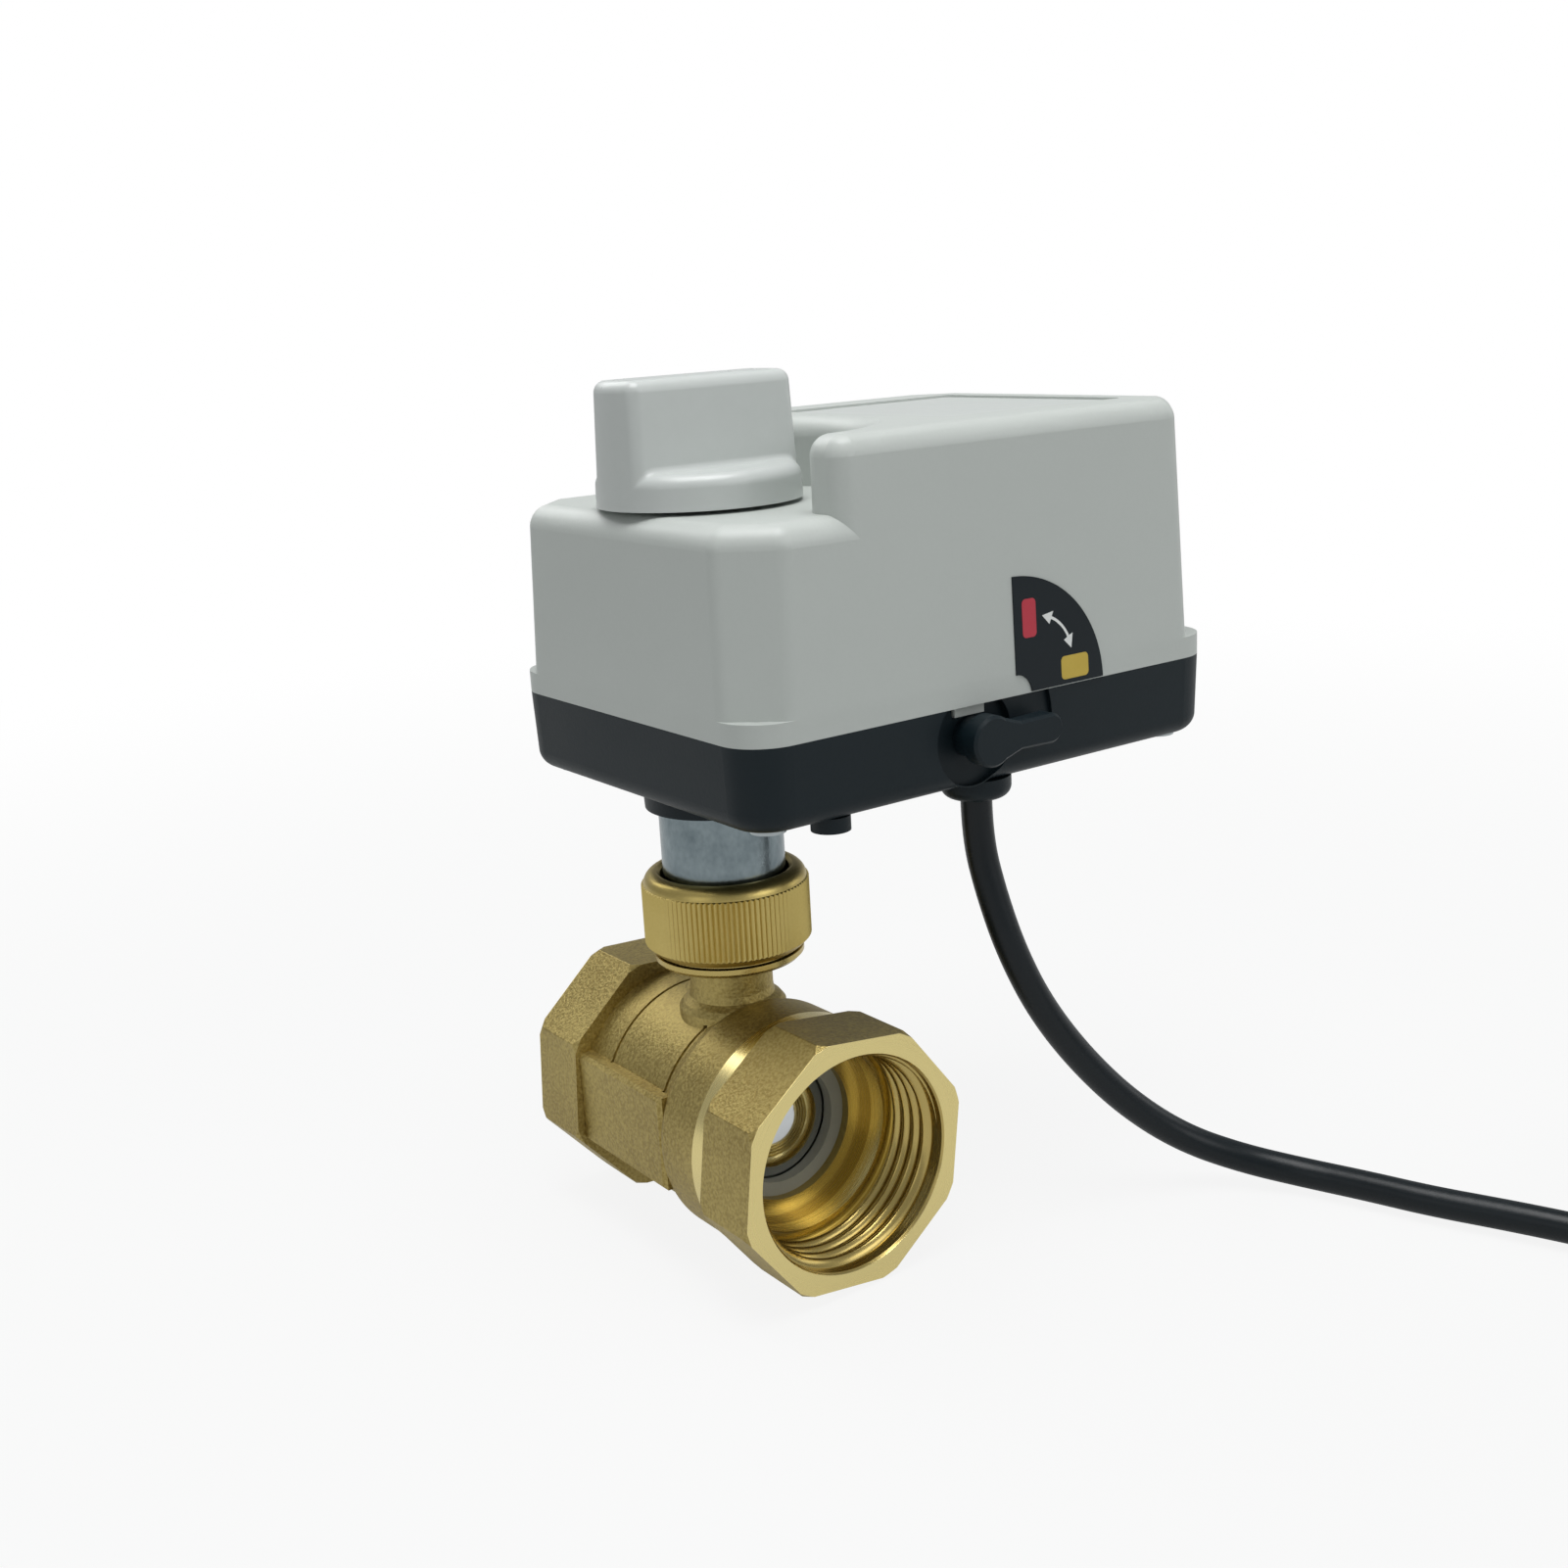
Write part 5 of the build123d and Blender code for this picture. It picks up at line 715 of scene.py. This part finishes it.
@dataclass
class ValveBody(Builder):
    """The brass valve: body, screwed end cap, ball, seats, stem and the threads in its ports.

    Attributes:
        thread: The form of the port thread.
        thread_in_mm: How far in from the port's face the thread starts.
    """

    title: str = "valve body"
    thread: ThreadForm = ThreadForm()
    thread_in_mm: float = 1.5

    def build(self) -> None:
        """Dress the valve's nodes and wind the thread into both ports."""
        self.dress(FORGED_BRASS, "valve_body", "end_cap")
        self.dress(TURNED_BRASS, "gland_bush")
        self.dress(CHROME, "ball")
        self.dress(PTFE, "front_seat", "rear_seat", "thrust_washer", "stem_packing")
        self.dress(STAINLESS, "stem")
        self.dress(RUBBER, "stem_o_rings")
        self.dress(FIBRE, "cap_gasket", "union_seal")
        for name, start, way in (("front_port_thread", self.thread_in_mm, 1),
                                 ("rear_port_thread", FACE_TO_FACE - self.thread_in_mm, -1)):
            self.piece(name, self.thread.mesh(name, start, way), FORGED_BRASS, Slot.BRASS)


@dataclass
class Union(Builder):
    """The steel tube and the knurled nut that join valve and drive."""

    title: str = "union"

    def build(self) -> None:
        """Dress the tube and the nut."""
        self.dress(ZINC_TUBE, "mounting_tube")
        self.dress(KNURLED_BRASS, "union_nut")


@dataclass
class Housing(Builder):
    """The drive's two-part case with its gasket and screws, and the bare film on top.

    Attributes:
        plate_mm: The film's width and depth.
        plate_middle_mm: Its middle, from above.
        plate_corner_mm: Radius of its corners.
        plate_level_mm: Height of the recess that it lies in.
        plate_thick_mm: Its thickness.
    """

    title: str = "housing"
    plate_mm: tuple[float, float] = (35.2, 41.2)
    plate_middle_mm: tuple[float, float] = (48.0, STEM_Y)
    plate_corner_mm: float = 1.2
    plate_level_mm: float = 105.0
    plate_thick_mm: float = 0.15

    def build(self) -> None:
        """Dress the case and lay the film in the cover's recess."""
        self.dress(GREY_ABS, "cover")
        self.dress(BLACK_ABS, "base")
        self.dress(RUBBER, "cover_gasket")
        self.dress(ZINC_SHEET, "cover_screws")
        outline = rounded(self.plate_middle_mm, *self.plate_mm, self.plate_corner_mm)
        level = Matrix.Translation(Vector((0, 0, self.plate_level_mm * MM)))
        self.piece("cover_film", slab("cover_film", outline, level, self.plate_thick_mm), PLATE_FILM,
                   Slot.GREY_PLASTIC)


@dataclass(frozen=True)
class LabelFace:
    """The plane of the quarter-ring label on the cover's drafted front wall.

    Attributes:
        foot_z_mm: Height where the drafted wall starts, above the cover's lip.
        front_mm: Where the wall's foot is, across the housing.
        lean_mm: How far the wall leans in.
        lean_over_mm: The height over which it does.
        proud_mm: How far the label's face stands out.
    """

    foot_z_mm: float = 68.8
    front_mm: float = -2.5
    lean_mm: float = 1.2
    lean_over_mm: float = 36.7
    proud_mm: float = 0.2

    def draft(self) -> float:
        """Return the wall's tilt in radians."""
        return math.atan(self.lean_mm / self.lean_over_mm)

    def place(self) -> Matrix:
        """Place the label's face.

        Returns:
            A matrix with X along the housing, Y up the wall and Z out of it.
        """
        draft = self.draft()
        out = Vector((0, -math.cos(draft), math.sin(draft)))
        up = Vector((0, math.sin(draft), math.cos(draft)))
        origin = Vector(metres(0, self.front_mm, self.foot_z_mm)) + out * self.proud_mm * MM
        return Matrix.Translation(origin) @ Matrix((Vector((1, 0, 0)), up, out)).transposed().to_4x4()


@dataclass
class ModeControl(Builder):
    """Knob, change-over lever and the label that shows the lever's two places.

    Attributes:
        face: The label's plane.
        print_mm: How far the printed fields stand out.
        red_mm: The red field's middle along the housing, its middle height, its width and its height.
        yellow_mm: The same of the yellow field.
        chip_corner_mm: Radius of the fields' corners.
        arrow_centre_mm: The arrow's centre along the housing, and its height.
        arrow_radius_mm: Radius of the arrow's arc.
        arrow_span: Angles of the arrow's two tips, in degrees.
        arrow_width_mm: Width of the arc's line.
        arrow_head_mm: Length of a head, and half of its width.
        arrow_steps: Steps along the arc.
    """

    title: str = "mode control"
    face: LabelFace = LabelFace()
    print_mm: float = 0.03
    red_mm: tuple[float, float, float, float] = (34.2, 76.55, 2.7, 5.7)
    yellow_mm: tuple[float, float, float, float] = (42.95, 68.15, 5.5, 3.5)
    chip_corner_mm: float = 0.7
    arrow_centre_mm: tuple[float, float] = (35.7, 69.9)
    arrow_radius_mm: float = 6.75
    arrow_span: tuple[float, float] = (9.0, 81.0)
    arrow_width_mm: float = 0.42
    arrow_head_mm: tuple[float, float] = (1.9, 1.0)
    arrow_steps: int = 12

    def on_face(self, x: float, z: float) -> tuple[float, float]:
        """Turn a place on the front wall into the label face's own two axes."""
        return x, (z - self.face.foot_z_mm) / math.cos(self.face.draft())

    def on_arc(self, radius: float, angle: float) -> tuple[float, float]:
        """Turn a radius and an angle about the arrow's centre into the label face's own two axes."""
        x, z = self.arrow_centre_mm
        return self.on_face(x + radius * math.cos(angle), z + radius * math.sin(angle))

    def arrow(self) -> list[tuple[float, float]]:
        """Outline the arc with a head at each end.

        Returns:
            Points counter-clockwise on the label's face.
        """
        start, end = (math.radians(a) for a in self.arrow_span)
        radius, half, (long, wide) = self.arrow_radius_mm, self.arrow_width_mm / 2, self.arrow_head_mm
        low, high = start + long / radius, end - long / radius
        shaft = [low + (high - low) * k / self.arrow_steps for k in range(self.arrow_steps + 1)]
        outer = [(radius + wide, low), *[(radius + half, a) for a in shaft], (radius + wide, high)]
        inner = [(radius - wide, high), *[(radius - half, a) for a in reversed(shaft)], (radius - wide, low)]
        return [self.on_arc(*place) for place in ((radius, start), *outer, (radius, end), *inner)]

    def chip(self, box: tuple[float, float, float, float]) -> list[tuple[float, float]]:
        """Outline one printed field from its middle and size."""
        x, z, width, height = box
        return rounded(self.on_face(x, z), width, height, self.chip_corner_mm)

    def build(self) -> None:
        """Dress the controls and print the label's fields and arrow."""
        self.dress(GREY_KNOB_ABS, "knob")
        self.dress(BLACK_ABS, "mode_lever")
        self.dress(STAINLESS, "lever_shaft")
        self.dress(ZINC_SHEET, "lever_clip")
        self.dress(VINYL_BLACK, "mode_label")
        for name, outline, finish in (("label_field_red", self.chip(self.red_mm), VINYL_RED),
                                      ("label_field_yellow", self.chip(self.yellow_mm), VINYL_YELLOW),
                                      ("label_arrow", self.arrow(), VINYL_WHITE)):
            mesh = slab(name, outline, self.face.place(), self.print_mm)
            self.piece(name, mesh, finish, Slot.LABEL_FILM)


@dataclass
class Drive(Builder):
    """Gear train, clutch, motor and their plates.

    Attributes:
        spring_turns: Turns of the clutch's return spring.
        wire_mm: Radius of its wire.
        turn_points: Points of the wire's line in a turn.
        wire_sides: Sides of the wire's section.
        lift_mm: How far the fork's lift presses it together; not used.
    """

    title: str = "drive"
    spring_turns: float = 5.0
    wire_mm: float = 0.3
    turn_points: int = 40
    wire_sides: int = 12
    lift_mm: float = 2.2

    def spring(self) -> bpy.types.Mesh:
        """Wind the clutch's return spring where its node is.

        Returns:
            The wound wire as one closed mesh.
        """
        low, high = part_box("clutch_spring")
        wire = self.wire_mm * MM
        sizes = {"Height": high.z - low.z - 2 * wire, "Radius": (high.x - low.x) / 2 - wire, "Wire": wire}
        grow = GrowTree("return_spring", sizes, STAINLESS.material())
        tree = grow.tree
        coil = add_node(
            tree,
            "GeometryNodeCurveSpiral",
            {"Resolution": self.turn_points, "Rotations": self.spring_turns},
            {"Start Radius": grow["Radius"], "End Radius": grow["Radius"], "Height": grow["Height"]},
        )
        middle = (low + high) / 2
        seat = (middle.x, middle.y, low.z + wire)
        placed = add_node(tree, "GeometryNodeTransform", {"Translation": seat}, {"Geometry": coil})
        section = add_node(tree, "GeometryNodeCurvePrimitiveCircle", {"Resolution": self.wire_sides},
                           {"Radius": grow["Wire"]})
        wound = add_node(tree, "GeometryNodeCurveToMesh", {"Fill Caps": True},
                         {"Curve": placed, "Profile Curve": section})
        return grow.grow(wound)

    def build(self) -> None:
        """Dress the drive's nodes and wind the clutch's return spring."""
        coil = self.piece("return_spring", self.spring(), STAINLESS, Slot.STAINLESS)
        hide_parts("clutch_spring")
        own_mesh(coil)
        self.dress(STAINLESS, "output_shaft", "gear_axles", "fork_guide_pin")
        self.dress(NYLON, "shaft_bush", "output_gear", "clutch_gear", "idler_gear", "close_cam", "open_cam")
        self.dress(ZINC_SHEET, "shaft_clip", "lower_gear_plate", "upper_gear_plate", "plate_screws", "motor",
                   "motor_screws", "lifting_fork")
        self.dress(TURNED_BRASS, "plate_pillars", "motor_pinion", "board_spacers")


@dataclass
class Electrics(Builder):
    """Boards, limit switches, terminal block and the parts soldered beside them.

    Attributes:
        screw_radius_mm: Radius of a clamp screw's head.
        screw_high_mm: Height of the head.
        screw_sides: Sides of the round head.
        screw_sunk_mm: How far the heads' middles are below the block's top.
        screw_pitch_mm: Distance from screw to screw.
        screw_count: Number of screws.
        slot_mm: Length, width and height of what is cut out for the driver, half of it in the head.
    """

    title: str = "electrics"
    screw_radius_mm: float = 1.5
    screw_high_mm: float = 1.2
    screw_sides: int = 24
    screw_sunk_mm: float = 2.3
    screw_pitch_mm: float = 5.4
    screw_count: int = 5
    slot_mm: tuple[float, float, float] = (2.6, 0.5, 0.5)

    def terminal_screws(self) -> bpy.types.Mesh:
        """Grow the row of clamp screws down in the terminal block's wells.

        Returns:
            The row as one mesh.
        """
        low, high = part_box("terminal_block")
        middle = (low + high) / 2
        sizes = {"Radius": self.screw_radius_mm * MM, "Pitch": self.screw_pitch_mm * MM}
        grow = GrowTree("terminal_screws", sizes, ZINC_SHEET.material())
        tree = grow.tree
        span = add_node(tree, MATH, {"operation": "MULTIPLY", 1: self.screw_count - 1.0}, {0: grow["Pitch"]})
        start = add_node(tree, MATH, {"operation": "MULTIPLY_ADD", 1: -0.5, 2: middle.y}, {0: span})
        level = high.z - self.screw_sunk_mm * MM
        first = add_node(tree, "ShaderNodeCombineXYZ", {0: middle.x, 2: level}, {1: start})
        step = add_node(tree, "ShaderNodeCombineXYZ", links={1: grow["Pitch"]})
        row = add_node(tree, "GeometryNodeMeshLine", {"Count": self.screw_count},
                       {"Start Location": first, "Offset": step})
        head = add_node(tree, "GeometryNodeMeshCylinder",
                        {"Vertices": self.screw_sides, "Depth": self.screw_high_mm * MM},
                        {"Radius": grow["Radius"]})
        slot = add_node(tree, "GeometryNodeMeshCube", {"Size": metres(*self.slot_mm)})
        lift = metres(0, 0, self.screw_high_mm / 2)
        raised = add_node(tree, "GeometryNodeTransform", {"Translation": lift}, {"Geometry": slot})
        cut = add_node(tree, "GeometryNodeMeshBoolean", {"operation": "DIFFERENCE"}, {0: head, 1: raised})
        screws = add_node(tree, "GeometryNodeInstanceOnPoints", links={"Points": row, "Instance": cut})
        return grow.grow(screws)

    def build(self) -> None:
        """Dress the boards and switches and set the screws in the terminal block."""
        self.dress(SOLDER_MASK, "circuit_board", "terminal_board")
        self.dress(SWITCH_CASE, "close_switch", "open_switch")
        self.dress(RED_ACETAL, "close_button", "open_button")
        self.dress(GREEN_POLYAMIDE, "terminal_block")
        self.dress(YELLOW_FILM, "capacitor")
        self.piece("terminal_screws", self.terminal_screws(), ZINC_SHEET, Slot.ZINC_STEEL)


@dataclass(frozen=True)
class LeadRoute:
    """The lead's route, in millimetres: where it hangs and lies, and its put-away coil.

    Attributes:
        radius: Radius of the sheath.
        level: Height of its middle where it lies.
        exit: Where it leaves the gland.
        hanging: Points that it hangs through.
        lying: Points that it lies along, from above.
        run_in: Length of the straight run into the coil.
        coil_centre: Middle of the coil's first half turn.
        heading: Direction in which it runs into the coil, in degrees.
        half_turns: Reach of the coil's half turns, in their order.
        climb: How far the lead rises in the half turn that takes it to the upper layer.
        climbing: Which half turn that is.
        half_turn_points: Control points of a half turn.
    """

    radius: float = 2.4
    level: float = -17.4
    exit: tuple[float, float, float] = (28.9, 4.3, 49.6)
    hanging: tuple[tuple[float, float, float], ...] = (
        (28.9, 4.3, 43.0), (29.7, 2.5, 34.7), (31.5, 0.2, 25.2), (36.0, -1.2, 15.1), (43.0, -2.5, 5.0),
        (50.9, -5.1, -4.3), (59.3, -8.8, -11.6), (67.0, -14.5, -15.7),
    )
    lying: tuple[tuple[float, float], ...] = (
        (72.9, -22.2), (76.5, -31.6), (79.7, -41.4), (84.1, -51.2), (87.8, -60.4),
    )
    run_in: float = 9.0
    coil_centre: tuple[float, float] = (120.5, -74.5)
    heading: float = -75.0
    half_turns: tuple[float, ...] = (27.4, 24.7, 22.0, 24.7, 27.4)
    climb: float = 5.4
    climbing: int = 2
    half_turn_points: int = 8

    def axes(self) -> tuple[Vector, Vector]:
        """Return the heading into the coil and the way towards its middle."""
        angle = math.radians(self.heading)
        return Vector((math.cos(angle), math.sin(angle), 0)), Vector((-math.sin(angle), math.cos(angle), 0))

    def coil_arcs(self) -> list[tuple[Vector, Vector, Vector]]:
        """List the coil's half turns.

        Returns:
            Each half turn's start, the way from there to its middle, and its direction at the start.
        """
        ahead, inward = self.axes()
        place, side, arcs = Vector((*self.coil_centre, self.level)) - inward * self.half_turns[0], 1, []
        for half, reach in enumerate(self.half_turns):
            across = inward * side * reach + Vector((0, 0, self.climb / 2 if half == self.climbing else 0))
            arcs.append((place, across, ahead * side))
            place, side = place + across * 2, -side
        return arcs

    def coil_end(self) -> tuple[Vector, Vector]:
        """Return where the sheath ends, past the coil, and its direction there."""
        place, across, ahead = self.coil_arcs()[-1]
        return place + across * 2 - ahead * 2 * self.radius, -ahead

    def points(self) -> list[Vector]:
        """List the control points of the whole lead.

        Returns:
            Points in metres, from the gland to the stripped end.
        """
        arcs = self.coil_arcs()
        start, _, ahead = arcs[0]
        route = [Vector(p) for p in (self.exit, *self.hanging, *((x, y, self.level) for x, y in self.lying))]
        route += [start - ahead * (2 * self.radius + self.run_in), start - ahead * 2 * self.radius]
        turn = math.pi / self.half_turn_points
        outside = 1 / math.cos(turn / 2)
        for place, across, forward in arcs:
            for k in range(self.half_turn_points):
                angle = (k + 0.5) * turn
                swing = forward * across.length * math.sin(angle) - across * math.cos(angle)
                route.append(place + across + swing * outside)
        end, way = self.coil_end()
        route += [end - way * self.radius, end]
        return [p * MM for p in route]


@dataclass
class Lead(Builder):
    """The lead out of the gland: one length of sheathed cable, its coil, ties and stripped cores.

    Attributes:
        route: Where the lead goes.
        length_m: The lead's real length; not used.
        cores: The three cores' colour names, as in their nodes, and their insulation.
        core_mm: Radius of a core's insulation.
        core_offset: Distance of a core's middle from the sheath's, at the sheath's end.
        core_length: How far the cores stand out of the sheath.
        core_spread: How far their tips spread.
        strand_mm: Radius of the bare strands.
        bare_share: Share of a core's outer half that is bare.
        line_steps: Steps from control point to control point.
        section_steps: Steps of a line's round section, which has four sides and two more for each step.
    """

    title: str = "lead"
    route: LeadRoute = LeadRoute()
    length_m: float = 0.5575
    cores: tuple[tuple[str, Finish], ...] = (("brown", BROWN_PVC), ("blue", BLUE_PVC), ("black", BLACK_PVC))
    core_mm: float = 0.8
    core_offset: float = 1.1
    core_length: float = 11.0
    core_spread: float = 1.6
    strand_mm: float = 0.45
    bare_share: float = 0.4
    line_steps: int = 8
    section_steps: int = 6

    def line(self, name: str, points: list[Vector], radius_mm: float, finish: Finish) -> bpy.types.Object:
        """Make a round line along control points.

        Args:
            name: The piece's name.
            points: Control points in metres.
            radius_mm: The line's radius.
            finish: Its finish.

        Returns:
            The curve object.
        """
        data = bpy.data.curves.new(name, "CURVE")
        data.dimensions = "3D"
        data.resolution_u = self.line_steps
        data.bevel_depth = radius_mm * MM
        data.bevel_resolution = self.section_steps
        data.use_fill_caps = True
        spline = data.splines.new("NURBS")
        spline.points.add(len(points) - 1)
        for point, place in zip(spline.points, points):
            point.co = (*place, 1.0)
        spline.order_u = 3
        spline.use_endpoint_u = True
        data.materials.append(finish.material())
        obj = bpy.data.objects.new(name, data)
        bpy.context.scene.collection.objects.link(obj)
        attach(obj, FIXED_BODY)
        LOG.info("%s: %s, %d points", self.title, name, len(points))
        return obj

    def core(self, index: int, colour: str, finish: Finish) -> list[bpy.types.Object]:
        """Make one stripped core: insulation, then bare strands.

        Args:
            index: Which of the cores.
            colour: The core's colour name, as in its node.
            finish: The insulation's finish.

        Returns:
            The insulation and the strands.
        """
        end, way = self.route.coil_end()
        _, inward = self.route.axes()
        angle = math.radians(90 + 360 / len(self.cores) * index)
        across = inward * math.cos(angle) + Vector((0, 0, math.sin(angle)))
        start = end + across * self.core_offset
        bend = start + way * self.core_length / 2
        tip = start + way * self.core_length + across * self.core_spread
        out = (tip - bend).normalized()
        reach = (1 - self.bare_share) * (tip - bend).length
        path = [start, bend - way * reach, bend, bend + out * reach]
        strip = bend + out * (reach - self.strand_mm)
        made = []
        for part, points, radius, surface in (
            ("insulation", path, self.core_mm, finish),
            ("strands", [strip, strip.lerp(tip, 0.5), tip], self.strand_mm, BARE_COPPER),
        ):
            piece = self.line(f"core_{colour}_{part}", [p * MM for p in points], radius, surface)
            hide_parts(f"core_{colour}")
            made.append(piece)
        return made

    def build(self) -> None:
        """Lay the lead and finish what is on it."""
        self.dress(BLACK_ABS, "cable_gland", "lead_clamp")
        self.dress(SWITCH_CASE, "cable_ties")
        self.dress(PVC_SHEATH, "inner_lead")
        sheath = self.line("lead_sheath", self.route.points(), self.route.radius, PVC_SHEATH)
        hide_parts("cable", "cable_coil")
        cores = []
        for index, (colour, finish) in enumerate(self.cores):
            cores += self.core(index, colour, finish)


@dataclass(frozen=True)
class Softbox:
    """One square soft lamp.

    Attributes:
        name: The lamp's name.
        at_m: Where it hangs.
        watts: Its power.
        side_m: Its side.
    """

    name: str
    at_m: tuple[float, float, float]
    watts: float
    side_m: float

    def hang(self, aim_m: tuple[float, float, float]) -> None:
        """Hang the lamp in its place.

        Args:
            aim_m: The place that it points at.
        """
        data = bpy.data.lights.new(self.name, "AREA")
        data.energy, data.size = self.watts, self.side_m
        obj = bpy.data.objects.new(self.name, data)
        obj.location = self.at_m
        obj.rotation_euler = (Vector(aim_m) - Vector(self.at_m)).to_track_quat("-Z", "Y").to_euler()
        bpy.context.scene.collection.objects.link(obj)


@dataclass
class Studio:
    """Floor, lamps, world and camera.

    Attributes:
        camera_at_mm: Where the camera stands.
        camera_right: The way to the picture's right.
        camera_up: The way to the picture's top.
        focal_px: Focal length in pixels of the picture.
        frame_px: The picture's width in pixels.
        sensor_mm: The camera's film width.
        clip_m: Nearest and farthest distance that the camera shows.
        floor_m: Side of the floor.
        floor_thick_mm: Its thickness.
        floor_colour: Its own colour, which the lamps light.
        fade_m: Distances from the object between which the floor goes over to plain white.
        near_white: Share of plain white close to the object, where the floor keeps the shadow.
        floor_mirrored: Share of the white floor that the object mirrors.
        world_colour: Colour of the surround's light.
        world_strength: Strength of the surround's light.
        world_mirrored: Share of the white surround that the object mirrors.
        background: The white that the camera sees.
        aim_m: The place that the lamps point at.
        lamps: The lamps.
    """

    camera_at_mm: tuple[float, float, float] = (-149.879, -201.289, 124.196)
    camera_right: tuple[float, float, float] = (0.81006, -0.58378, -0.05485)
    camera_up: tuple[float, float, float] = (0.19171, 0.17529, 0.96567)
    focal_px: float = 1907.665
    frame_px: float = 1601.0
    sensor_mm: float = 36.0
    clip_m: tuple[float, float] = (0.01, 20.0)
    floor_m: float = 6.0
    floor_thick_mm: float = 5.0
    floor_colour: str = "B4B6B5"
    fade_m: tuple[float, float] = (0.16, 0.6)
    near_white: float = 0.88
    floor_mirrored: float = 0.45
    world_colour: str = "F2F5F7"
    world_strength: float = 0.32
    world_mirrored: float = 0.10
    background: str = "FFFFFF"
    aim_m: tuple[float, float, float] = (0.025, 0.025, 0.05)
    lamps: tuple[Softbox, ...] = (
        Softbox("top softbox", (-0.03, -0.06, 0.86), 6.4, 0.55),
        Softbox("back softbox", (-0.05, 0.85, 0.75), 2.6, 0.6),
        Softbox("front softbox", (0.35, -0.85, 0.45), 1.7, 0.5),
        Softbox("left softbox", (-0.85, -0.25, 0.35), 0.5, 0.45),
        Softbox("right softbox", (0.90, -0.20, 0.25), 0.6, 0.4),
    )

    def camera(self) -> None:
        """Set the camera where the picture was taken from."""
        data = bpy.data.cameras.new("camera")
        data.sensor_width = self.sensor_mm
        data.lens = self.focal_px / self.frame_px * self.sensor_mm
        data.clip_start, data.clip_end = self.clip_m
        obj = bpy.data.objects.new("camera", data)
        right = Vector(self.camera_right).normalized()
        back = right.cross(Vector(self.camera_up)).normalized()
        turn = Matrix((right, back.cross(right), back)).transposed().to_4x4()
        obj.matrix_world = Matrix.Translation(Vector(self.camera_at_mm) * MM) @ turn
        bpy.context.scene.collection.objects.link(obj)
        bpy.context.scene.camera = obj

    def seen(self, tree: bpy.types.NodeTree, mirrored: float) -> bpy.types.Node:
        """Tell rays that show the background from rays that light the object.

        Args:
            tree: The tree that gets the nodes.
            mirrored: How much of the white background the object's reflections get.

        Returns:
            The node that gives one where the background is seen, and the given share where it is mirrored.
        """
        path = add_node(tree, "ShaderNodeLightPath").outputs
        straight = add_node(tree, MATH, {"operation": "MAXIMUM"},
                            {0: path["Is Camera Ray"], 1: path["Is Transmission Ray"]})
        glossy = add_node(tree, MATH, {"operation": "MULTIPLY", 1: mirrored}, {0: path["Is Glossy Ray"]})
        return add_node(tree, MATH, {"operation": "MAXIMUM"}, {0: straight, 1: glossy})

    def paper(self) -> bpy.types.Material:
        """Make the floor's material: grey paper to the lamps, plain white to the camera.

        Returns:
            The material.
        """
        made = bpy.data.materials.new("pale seamless paper")
        made.use_nodes = True
        tree = made.node_tree
        tree.nodes.clear()
        lit = add_node(tree, "ShaderNodeBsdfDiffuse", {"Color": linear(self.floor_colour)})
        white = add_node(tree, "ShaderNodeEmission", {"Color": linear(self.background), "Strength": 1.0})
        place = add_node(tree, "ShaderNodeTexCoord").outputs["Object"]
        away = add_node(tree, "ShaderNodeVectorMath", {"operation": "LENGTH"}, {"Vector": place})
        fade = add_node(
            tree,
            "ShaderNodeMapRange",
            {"interpolation_type": "SMOOTHSTEP", "From Min": self.fade_m[0], "From Max": self.fade_m[1],
             "To Min": self.near_white, "To Max": 1.0},
            {"Value": away.outputs["Value"]},
        )
        seen = self.seen(tree, self.floor_mirrored)
        share = add_node(tree, MATH, {"operation": "MULTIPLY"}, {0: seen, 1: fade})
        both = add_node(tree, "ShaderNodeMixShader", links={0: share, 1: lit, 2: white})
        add_node(tree, "ShaderNodeOutputMaterial", links={"Surface": both})
        return made

    def floor(self) -> None:
        """Lay a pale floor that looks white to the camera and keeps the object's shadow."""
        half = self.floor_m / 2 / MM
        outline = [(-half, -half), (half, -half), (half, half), (-half, half)]
        level = Matrix.Translation(Vector(metres(0, 0, FLOOR_Z - self.floor_thick_mm)))
        mesh = slab("floor", outline, level, self.floor_thick_mm)
        mesh.materials.append(self.paper())
        obj = bpy.data.objects.new("floor", mesh)
        bpy.context.scene.collection.objects.link(obj)

    def world(self) -> None:
        """Light everything evenly from a pale surround that looks white."""
        world = bpy.data.worlds.new("surround")
        world.use_nodes = True
        tree = world.node_tree
        tree.nodes.clear()
        glows = ((self.world_colour, self.world_strength), (self.background, 1.0))
        dim, white = (add_node(tree, "ShaderNodeBackground", {"Color": linear(colour), "Strength": strength})
                      for colour, strength in glows)
        seen = self.seen(tree, self.world_mirrored)
        both = add_node(tree, "ShaderNodeMixShader", links={0: seen, 1: dim, 2: white})
        add_node(tree, "ShaderNodeOutputWorld", links={"Surface": both})
        bpy.context.scene.world = world

    def build(self) -> None:
        """Set the whole studio."""
        self.camera()
        self.floor()
        self.world()
        for lamp in self.lamps:
            lamp.hang(self.aim_m)
        bpy.context.scene.view_settings.view_transform = "Standard"
        LOG.info("studio: camera, floor and %d lamps", len(self.lamps))


def main() -> None:
    """Build every sub-assembly on the frame."""
    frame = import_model()
    Studio().build()
    for part in (Lead, ValveBody, Union, Housing, ModeControl, Drive, Electrics):
        part(frame["nodes"]).build()


if __name__ == "__main__":
    logging.basicConfig(level=logging.INFO, format="%(name)s %(message)s")
    main()
